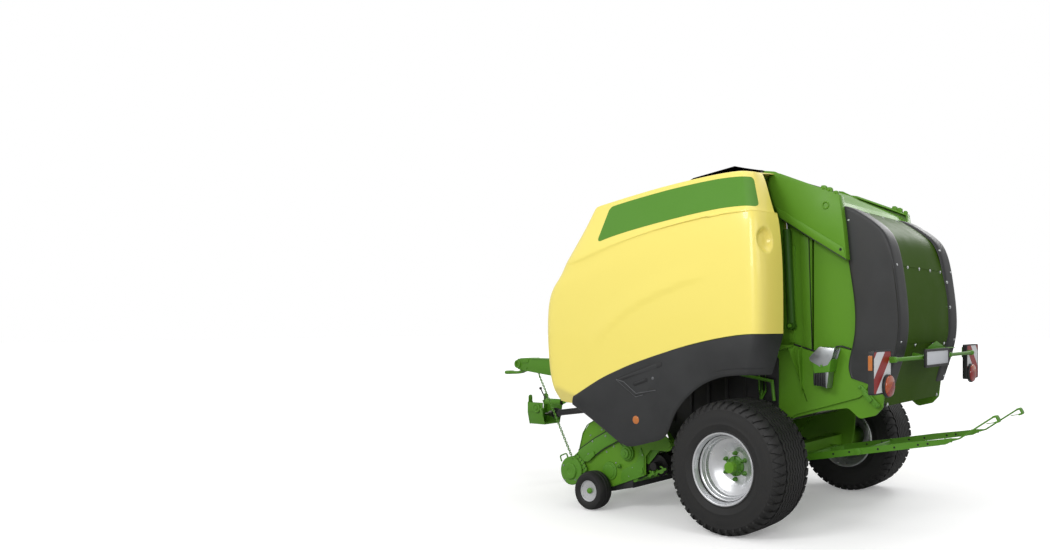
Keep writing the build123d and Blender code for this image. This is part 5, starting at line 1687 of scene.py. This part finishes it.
top, foot = Vector((0.06, -3.303, 1.105)), Vector((0.992, -1.872, 0.422))
count = int((top - foot).length / LINK_PITCH)
ahead = (foot - top).normalized()
sideways = ahead.cross(Vector((0, 0, 1)))
across, upward = sideways.normalized(), sideways.cross(ahead).normalized()
spots = [(tuple(top + (foot - top) * (k + 0.5) / count), tuple(across if k % 2 else upward), tuple(ahead))
         for k in range(count)]
mesh = copies_on(link(), spots, tool_green)
mesh.transform(TO_ROW)
chain = placed("press_chain", mesh)
mesh.shade_smooth()
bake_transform(chain)
print("chain links:", count)

# %% [markdown]
# ## Bale ramp
# The ramp is two flat bars on edge, drilled. A thin rod rises from each tip and ends
# in a strip bent round into a hook, with a short wire at its foot. Holes are shown
# as dark discs set in the face, since nothing passes through them; their dark is
# painted shade in place of an opening.

# %% Ramp bars, rods and their sleeves
PIN, BAR_X = (0.15, 0.5), 0.33

@for_both_hands(tool_green, "ramp", edge=0.0015, segments=1)
def ramp_bar(bm):
    outline = [(0.128, 0.47), (0.128, 0.52), (0.4, 0.574), (0.783, 0.64), (1.122, 0.702), (1.376, 0.741),
        (1.486, 0.76), (1.566, 0.768), (1.48, 0.726), (1.404, 0.7), (1.208, 0.664), (0.783, 0.586), (0.4, 0.516)]
    slab(bm, "x", rounded(outline, 0.004, 2), BAR_X - 0.006, BAR_X + 0.006)
    plate(bm, [(1.33, 0.724), (1.5, 0.764), (1.52, 0.744), (1.46, 0.712), (1.34, 0.692)], 0.008, BAR_X - 0.016,
        BAR_X + 0.016)
    tube(bm, 0.019, 0.03, -0.045, 0.045, (BAR_X, *PIN), "x", 28)
    side_bar(bm, BAR_X, rounded([(1.44, 0.722), (1.572, 0.766), (1.842, 0.951)], (0, 0.05, 0)), circle(0.0065, 10))
    hook = [(1.836, 0.946), (1.862, 0.958), (1.885, 0.918), (1.853, 0.906)]
    side_bar(bm, BAR_X, rounded(hook, (0, 0.012, 0.01, 0)), flat(0.015, 0.052))
    bar(bm, [(BAR_X, 1.856, 0.907), (BAR_X, 1.782, 0.893)], circle(0.003, 6), up=(1, 0, 0))
    rod(bm, 0.014, -0.03, 0.03, (BAR_X, 1.478, 0.744), "y", 16)

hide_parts("bale_ramp")
bm = bmesh.new()
tube(bm, 0.019, 0.028, -0.38, 0.38, (0, *PIN), "x", 32)
rod(bm, 0.014, -BAR_X, BAR_X, (0, 0.7, 0.598), "x", 20)
for hand in (-1, 1):
    slab(bm, "x", [(0.135, 0.515), (0.3, 0.552), (0.3, 0.5), (0.135, 0.48)], hand * 0.2 - 0.005, hand * 0.2 + 0.005)
    rod(bm, 0.03, -0.004, 0.004, (hand * (BAR_X + 0.01), 0.7, 0.598), "x", 20)
make("ramp_tubes", bm, tool_green, "ramp", edge=0.0015)
places = [(0.47, 0.56), (0.62, 0.588), (1.025, 0.656), (1.229, 0.692), (1.31, 0.706), (0.88, 0.632)]
bm = bmesh.new()
rod(bm, 0.009, 0, 0.001, (0, 0, 0), "z", 14)
spots = [((hand * BAR_X + out * 0.0062, y, z), (out, 0, 0), (0, 1, 0))
         for hand in (-1, 1) for out in (-1, 1) for y, z in places]
make_copies("ramp_holes", bm, spots, dark_steel, "ramp")

# %% [markdown]
# ## Drawbar and drive line
# The drawbar is a welded box with a cross tube at its nose and a forged eye under
# it. The drive shaft comes out under it inside a guard, which is one folded U, so
# the U is drawn from the front and pushed along. Round parts are turned.

# %% Drawbar, eye and its tube
bm = bmesh.new()
beam = [(-1.4, 1.25), (-2.3, 1.268), (-3.122, 1.262), (-3.448, 1.269), (-3.608, 1.265), (-3.64, 1.205),
    (-3.608, 1.149), (-3.509, 1.134), (-3.087, 1.09), (-2.5, 1.018), (-1.4, 1.0)]
plate(bm, beam, (0, 0.1, 0.1, 0.1, 0.03, 0.03, 0.03, 0.1, 0.1, 0.2, 0), -0.082, 0.082)
plate(bm, [(-3.43, 1.275), (-3.575, 1.271), (-3.56, 1.215), (-3.44, 1.22)], 0.02, -0.088, 0.088)
slab(bm, "z", rounded([(-0.088, -1.45), (0.088, -1.45), (0.088, -3.4), (0.06, -3.56), (-0.06, -3.56), (-0.088, -3.4)],
    0.02), 1.262, 1.27)
tube(bm, 0.026, 0.046, -0.094, 0.094, (0, -3.604, 1.206), "x", 32)
for y, foot in ((-1.52, 1.0), (-2.0, 1.0), (-2.9, 1.066)):
    slab(bm, "y", rounded(rectangle(-0.087, foot, 0.087, 1.268), 0.01), y, y + 0.012)
make("drawbar_box", bm, tool_green, "frame", edge=0.003, stands_for=["drawbar"])
bm = bmesh.new()
bar(bm, [(0, -3.8, 1.103), (0, -3.7, 1.104), (0, -3.64, 1.112), (0, -3.56, 1.14), (0, -3.44, 1.17)],
    rounded(rectangle(-0.034, -0.015, 0.034, 0.015), 0.008, 3), up=(0, 0, 1))
turned(bm, [(0.029, -0.016), (0.044, -0.019), (0.054, -0.014), (0.057, 0.0), (0.054, 0.014), (0.044, 0.019),
    (0.029, 0.016), (0.026, 0.0)], (0, -3.824, 1.103), "z", 40, closed=True)
for y, z in ((-3.47, 1.165), (-3.56, 1.15)):
    rod(bm, 0.012, -0.09, 0.09, (0, y, z), "x", 6)
make("drawbar_eye", bm, tool_green, "frame", edge=0.002, stands_for=["hitch_eye"])

# %% Drive shaft, its bell guards and the U-shaped shield
def shield(half, top, knee, sole, narrow, wall):
    outer = [(half, top), (half, knee), (narrow, sole), (-narrow, sole), (-half, knee), (-half, top)]
    inner = [(-half + wall, top), (-half + wall, knee + 0.002), (-narrow + wall * 0.6, sole + wall),
        (narrow - wall * 0.6, sole + wall), (half - wall, knee + 0.002), (half - wall, top)]
    return outer + inner

bm = bmesh.new()
slab(bm, "y", shield(0.14, 0.8, 0.69, 0.562, 0.112, 0.006), -3.29, -3.07)
front = [(-0.142, 0.802), (-0.142, 0.69), (-0.114, 0.56), (0.114, 0.56), (0.142, 0.69), (0.142, 0.802),
    (0.092, 0.802)]
front += [(0.088 * math.cos(a), 0.745 + 0.088 * math.sin(a)) for a in np.linspace(math.radians(40),
    math.radians(-220), 20)] + [(-0.092, 0.802)]
slab(bm, "y", front, -3.298, -3.29)
for x in (0.14, -0.148):
    plate(bm, [(-3.06, 0.802), (-3.29, 0.79), (-3.29, 0.692), (-3.075, 0.704)], 0.012, x, x + 0.008)
for x in (-0.11, 0.11):
    slab(bm, "y", rounded(rectangle(x - 0.026, 0.79, x + 0.026, 0.878), (0, 0, 0.025, 0.025)), -3.292, -3.284)
tube(bm, 0.024, 0.033, -0.115, 0.11, (0.105, -2.93, 0.815), "y", 32)
turned(bm, [(0, 0.0), (0.05, 0.0), (0.052, 0.004), (0.052, 0.014), (0.047, 0.018), (0.036, 0.018), (0.033, 0.012),
    (0.022, 0.012), (0.02, 0.022), (0, 0.024)], (0.148, -3.145, 0.742), "x", 36)
turned(bm, [(0, 0.0), (0.05, 0.0), (0.052, -0.004), (0.052, -0.014), (0.047, -0.018), (0.036, -0.018), (0, -0.012)],
    (-0.148, -3.145, 0.742), "x", 36)
bar(bm, [(0.15, -3.1, 0.742), (0.152, -3.07, 0.7), (0.15, -3.062, 0.668)], circle(0.011, 10))
bmesh.ops.translate(bm, vec=(0, -0.088, 0), verts=bm.verts)
for x in (-0.09, 0.09):
    plate(bm, [(-3.19, 0.78), (-2.88, 0.8), (-2.76, 0.9), (-2.76, 1.06), (-2.88, 1.062), (-2.9, 0.85),
        (-3.19, 0.806)], 0.02, x - 0.005, x + 0.005)
make("shaft_shield", bm, tool_green, "frame", edge=0.0018, stands_for=["pto_guard"])
SHAFT_FRONT, SHAFT_REAR = Vector((0, -3.105, 0.68)), Vector((0, -1.69, 0.868))

def along_shaft(bm):
    tilt = math.atan2(SHAFT_REAR.z - SHAFT_FRONT.z, SHAFT_REAR.y - SHAFT_FRONT.y)
    bmesh.ops.rotate(bm, cent=(0, 0, 0), matrix=Matrix.Rotation(tilt, 3, "X"), verts=bm.verts)
    bmesh.ops.translate(bm, vec=SHAFT_FRONT, verts=bm.verts)
    return bm

REACH = (SHAFT_REAR - SHAFT_FRONT).length
bm = bmesh.new()
bell = [(0.056, -0.01)] + [(r, 0.0 + k * 0.012) for k in range(5) for r in (0.058 - k * 0.003, 0.051 - k * 0.003)]
turned(bm, [(0.05, -0.01)] + bell + [(0.033, 0.085), (0.033, REACH * 0.52), (0.029, REACH * 0.52),
    (0.029, REACH - 0.085)]
       + [(r, REACH + 0.012 - k * 0.012) for k in range(4, -1, -1)
           for r in (0.051 - k * 0.003, 0.058 - k * 0.003)] + [(0.05, REACH + 0.012)], (0, 0, 0), "y", 36)
make("drive_shaft_guard", along_shaft(bm), black_moulding, "frame", crease=40)
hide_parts("drive_shaft")
bm = bmesh.new()
turned(bm, [(0, -0.15), (0.0175, -0.15), (0.0175, -0.085), (0.034, -0.08), (0.034, 0.0), (0, 0.0)], (0, 0, 0), "y",
    24)
for k in range(6):
    angle = k * math.tau / 6
    block(bm, (0.0165 * math.cos(angle) - 0.003, -0.145, 0.0165 * math.sin(angle) - 0.003),
        (0.0165 * math.cos(angle) + 0.003, -0.09, 0.0165 * math.sin(angle) + 0.003))
make("drive_shaft_end", along_shaft(bm), bare_steel, "frame", edge=0.001, stands_for=["pto_bearing"])
bm = bmesh.new()
bar(bm, [(0.12, -3.125, 0.825), (0.12, -3.205, 0.945)], circle(0.007, 10))
turned(bm, [(0, -0.016)] + [(0.016 * math.cos(a), 0.016 * math.sin(a))
    for a in np.linspace(-1.3, 1.3, 9)] + [(0, 0.016)], (0.12, -3.21, 0.953), "z", 20)
rod(bm, 0.028, -0.02, 0.03, (0.105, -2.935, 0.815), "y", 24)
make("shield_lever", bm, black_moulding, "frame", crease=40)

# %% [markdown]
# ## Jack, gearbox and net box
# These stand in front, hidden from the first view but plain from the nose. The jack
# has a crank and a clamped sleeve, the gearbox is a ribbed casting with a bolted
# lid, and the net box is a folded box with a door, hinges and a handle.

# %% Jack
JX, JY = -0.3, -2.6

def square(half):
    """A square about the jack's own axis."""
    return rectangle(JX - half, JY - half, JX + half, JY + half)

def mirrored_in(centre, outline, hand):
    """An outline beside a centre line, or its mirror image when hand is -1."""
    return [(centre + hand * a, b) for a, b in outline][::hand]

bm = bmesh.new()
for z0, z1, half in ((0.5, 1.3, 0.045), (0.5, 0.53, 0.05), (0.905, 0.94, 0.05), (1.282, 1.312, 0.05)):
    outer, inner = rounded(square(half), 0.012, 3), rounded(square(0.037), 0.004, 3)
    levels = ((outer, z0), (outer, z1), (inner, z1), (inner, z0))
    join_rings(bm, [[bm.verts.new((x, y, z)) for x, y in line] for line, z in levels], closed=True)
for y in (JY - 0.055, JY + 0.045):
    slab(bm, "y", rounded([(-0.256, 1.07), (-0.084, 1.06), (-0.084, 1.24), (-0.256, 1.22)], 0.01), y, y + 0.01)
plate(bm, rectangle(JY - 0.06, 1.055, JY + 0.06, 1.245), 0.01, -0.096, -0.084)
block(bm, (JX - 0.04, JY - 0.04, 1.296), (JX + 0.04, JY + 0.04, 1.304))
bmesh.ops.recalc_face_normals(bm, faces=bm.faces)
make("jack_tube", bm, tool_green, "frame", edge=0.0015, stands_for=["jack_sleeve"])
bm = bmesh.new()
turned(bm, [(0, 1.3), (0.026, 1.3), (0.026, 1.318), (0.011, 1.322), (0.011, 1.345), (0, 1.346)], (JX, JY, 0), "z", 24)
bar(bm, [(JX, JY, 1.338), (JX, JY - 0.02, 1.34), (JX, JY - 0.13, 1.34)], flat(0.016, 0.006))
turned(bm, [(0, 0), (0.011, 0), (0.013, 0.05), (0.01, 0.085), (0, 0.088)], (JX, JY - 0.125, 1.34), "z", 16)
make("jack_crank", bm, dark_steel, "frame", crease=40)
bm = bmesh.new()
slab(bm, "z", rounded(square(0.0355), 0.006, 3), 0.02, 0.9)
slab(bm, "z", rounded(square(0.11), 0.03), 0.003, 0.011)
FOOT_RIB = [(0.036, 0.011), (0.1, 0.011), (0.1, 0.02), (0.036, 0.07)]
for hand in (-1, 1):
    slab(bm, "y", mirrored_in(JX, FOOT_RIB, hand), JY - 0.004, JY + 0.004)
    slab(bm, "x", mirrored_in(JY, FOOT_RIB, hand), JX - 0.004, JX + 0.004)
for k in range(7):
    rod(bm, 0.008, -0.0362, 0.0362, (JX, JY, 0.13 + k * 0.05), "x", 12)
bmesh.ops.recalc_face_normals(bm, faces=bm.faces)
make("jack_foot", bm, zinc, "jack", edge=0.0015, stands_for=["jack_leg"])

# %% Gearbox
bm = bmesh.new()
slab(bm, "y", rounded([(-0.14, 0.78), (0.14, 0.78), (0.14, 0.96), (0.1, 0.992), (-0.1, 0.992), (-0.14, 0.96)], 0.02),
    -1.68, -1.44)
for k in range(7):
    x = -0.12 + k * 0.04
    plate(bm, [(-1.69, 0.776), (-1.43, 0.776), (-1.43, 0.985), (-1.47, 0.999), (-1.65, 0.999), (-1.69, 0.985)], 0.02,
        x - 0.004, x + 0.004)
turned(bm, [(0, -1.7), (0.07, -1.7), (0.078, -1.69), (0.078, -1.676), (0, -1.676)], (0, 0, 0.86), "y", 36)
SHAFT = [(0, 0.136), (0.07, 0.136), (0.07, 0.15), (0.048, 0.156), (0.035, 0.156), (0.035, 0.6), (0.06, 0.6),
    (0.06, 0.612), (0, 0.612)]
for hand in (-1, 1):
    turned(bm, [(r, hand * along) for r, along in SHAFT[::hand]], (0, -1.56, 0.88), "x", 36)
make("gearbox_casting", bm, tool_green, "frame", edge=0.002, stands_for=["gearbox"])
spots = [((a, -1.7, 0.86 + b), (0, -1, 0), (1, 0, 0)) for a, b in circle(0.06, 6)]
spots += [((x, y, 0.994), (0, 0, 1), (1, 0, 0)) for x in (-0.095, 0.095) for y in (-1.64, -1.56, -1.48)]
make_copies("gearbox_screws", hex_screw(0.008), spots, zinc, "frame", crease=30)

# %% [markdown]
# ## Net box, roof and rotor
# The net box closes the front between the hoods. It is a folded box: its lid and
# its door are two bent lines in the side view, given a wall and carried across,
# with pressed ribs, hinges and a handle. The rotor is a shaft with star plates, so
# one star is drawn and copied with a twist.

# %% Net box lid
def offset_line(line, distance):
    moved = []
    for i, here in enumerate(line):
        before, after = Vector(line[max(i - 1, 0)]), Vector(line[min(i + 1, len(line) - 1)])
        ahead = (after - before).normalized()
        moved.append((here[0] - ahead.y * distance, here[1] + ahead.x * distance))
    return moved

def sheet_between(bm, line, thick, x0, x1):
    slab(bm, "x", line + offset_line(line, thick)[::-1], x0, x1)

LID = rounded([(-1.905, 1.85), (-1.67, 2.18), (-1.52, 2.56), (-1.33, 2.68)], (0, 0.09, 0.09, 0), 6)
DOOR = rounded([(-1.345, 1.33), (-1.87, 1.33), (-1.93, 1.48), (-1.906, 1.84)], (0, 0.04, 0.09, 0), 6)
bm = bmesh.new()
sheet_between(bm, LID, -0.005, -0.607, 0.607)
sheet_between(bm, DOOR, -0.005, -0.607, 0.607)
for x in (-0.607, 0.599):
    slab(bm, "x", DOOR + LID + [(-1.335, 2.66), (-1.335, 1.345)], x, x + 0.008)
for x in (-0.36, -0.12, 0.12, 0.36):
    rib = LID[4:-4]
    slab(bm, "x", offset_line(rib, 0.001) + offset_line(rib, 0.009)[::-1], x - 0.04, x + 0.04)
make("net_box_shell", bm, wall_green, "frame", edge=0.003, stands_for=["net_box"])
bm = bmesh.new()
slab(bm, "x", [(-1.9265, 1.53), (-1.91, 1.8), (-1.922, 1.8), (-1.9385, 1.53)], -0.54, 0.54)
for x0, x1 in ((-0.48, -0.18), (0.18, 0.48)):
    slab(bm, "x", [(-1.934, 1.56), (-1.924, 1.77), (-1.9285, 1.77), (-1.942, 1.56)], x0, x1)
make("net_box_door", bm, charcoal, "frame", edge=0.004)
bm = bmesh.new()
for x in (-0.43, 0.43):
    rod(bm, 0.013, x - 0.05, x + 0.05, (0, -1.918, 1.846), "x", 16)
bar(bm, [(x, y, z) for x, (y, z) in ((-0.11, (-1.932, 1.56)), (-0.104, (-1.968, 1.562)), (0.104, (-1.968, 1.562)),
    (0.11, (-1.932, 1.56)))], circle(0.01, 10))
for x in (-0.11, 0.11):
    turned(bm, [(0, -1.944), (0.02, -1.944), (0.022, -1.93), (0, -1.93)], (x, 0, 1.56), "y", 20)
for x in (-0.57, 0.57):
    turned(bm, [(0, -1.946), (0.024, -1.946), (0.03, -1.934), (0, -1.934)], (x, 0, 1.64), "y", 24)
make("net_box_fittings", bm, black_moulding, "frame", edge=0.001, crease=40)
spots = [((x, -1.921, z), (0, -1, 0), (1, 0, 0)) for x in (-0.5, -0.25, 0.0, 0.25, 0.5) for z in (1.51, 1.79)]
make_copies("net_box_screws", hex_screw(0.008), spots, bright_bolt, "frame", crease=30)

# %% Roof ribs and its hinge
bm = bmesh.new()
for x in (-0.42, -0.14, 0.14, 0.42):
    rib = [(-1.23, 2.742), (-0.8, 2.925), (-0.76, 2.942), (-0.38, 2.997)]
    slab(bm, "x", rib + [(y, z + 0.01) for y, z in rib[::-1]], x - 0.045, x + 0.045)
for x in (-0.64, 0.632):
    line = [(-1.32, 2.695), (-0.758, 2.935), (-0.32, 2.998), (-0.131, 2.952), (-0.04, 2.938)]
    slab(bm, "x", line + [(y, z - 0.035) for y, z in line[::-1]], x, x + 0.008)
make("roof_ribs", bm, black_moulding, "frame", edge=0.003)

# %% Rotor stars
low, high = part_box("feed_rotor")
ROTOR = ((low.y + high.y) / 2 - AXLE_Y, (low.z + high.z) / 2)
SPIKE, STAR_SHAFT = (high.z - low.z) / 2 - 0.002, 0.078
bm = bmesh.new()
outline = []
for k in range(4):
    for turn, r in ((-30, 0.1), (-8, 0.15), (2, 0.205), (10, SPIKE), (14, SPIKE - 0.002), (16, 0.19), (24, 0.12),
        (45, 0.098)):
        angle = math.radians(90 * k + turn)
        outline.append((r * math.cos(angle), r * math.sin(angle)))
slab(bm, "z", outline, -0.004, 0.004)
spots = []
for k in range(15):
    angle = math.radians(24 * k)
    spots.append(((-0.553 + k * 0.079, *ROTOR), (1, 0, 0), (0, math.cos(angle), math.sin(angle))))
make_copies("rotor_stars", bm, spots, bare_steel, "rotor", crease=30, stands_for=["feed_rotor"])
bm = bmesh.new()
rod(bm, STAR_SHAFT, -0.586, 0.586, (0, *ROTOR), "x", 40)
for x in (-0.582, 0.57):
    rod(bm, 0.2, x, x + 0.01, (0, *ROTOR), "x", 40)
make("rotor_shaft", bm, tool_green, "rotor", edge=0.001)

# %% [markdown]
# Each belt is closed by a row of wire hooks. The hooks are small staples, all
# alike, set across the belt where it crosses the top.

# %% Belt lacings
def staple():
    bm = bmesh.new()
    block(bm, (-0.003, -0.018, -0.0005), (0.003, 0.018, 0.0022))
    return bm

BELT_PITCH = (2 * 0.594 - 0.06) / 5
LACING = {"chamber_belts": "frame", "tailgate_belts": "tailgate"}
for name, body in LACING.items():
    holder = bpy.data.objects[name]
    top = max((holder.matrix_world @ v.co for v in holder.data.vertices), key=lambda p: p.z)
    print(name, "crosses the top at", [round(c, 3) for c in top])
    spots = []
    for belt in range(5):
        middle = (belt - 2) * BELT_PITCH
        for k in range(15):
            spots.append(((middle - 0.098 + k * 0.014, top.y - AXLE_Y, top.z), (0, 0, 1), (1, 0, 0)))
    make_copies(name + "_lacing", staple(), spots, bright_bolt, body)
print("triangles so far:", sum(made_triangles.values()))
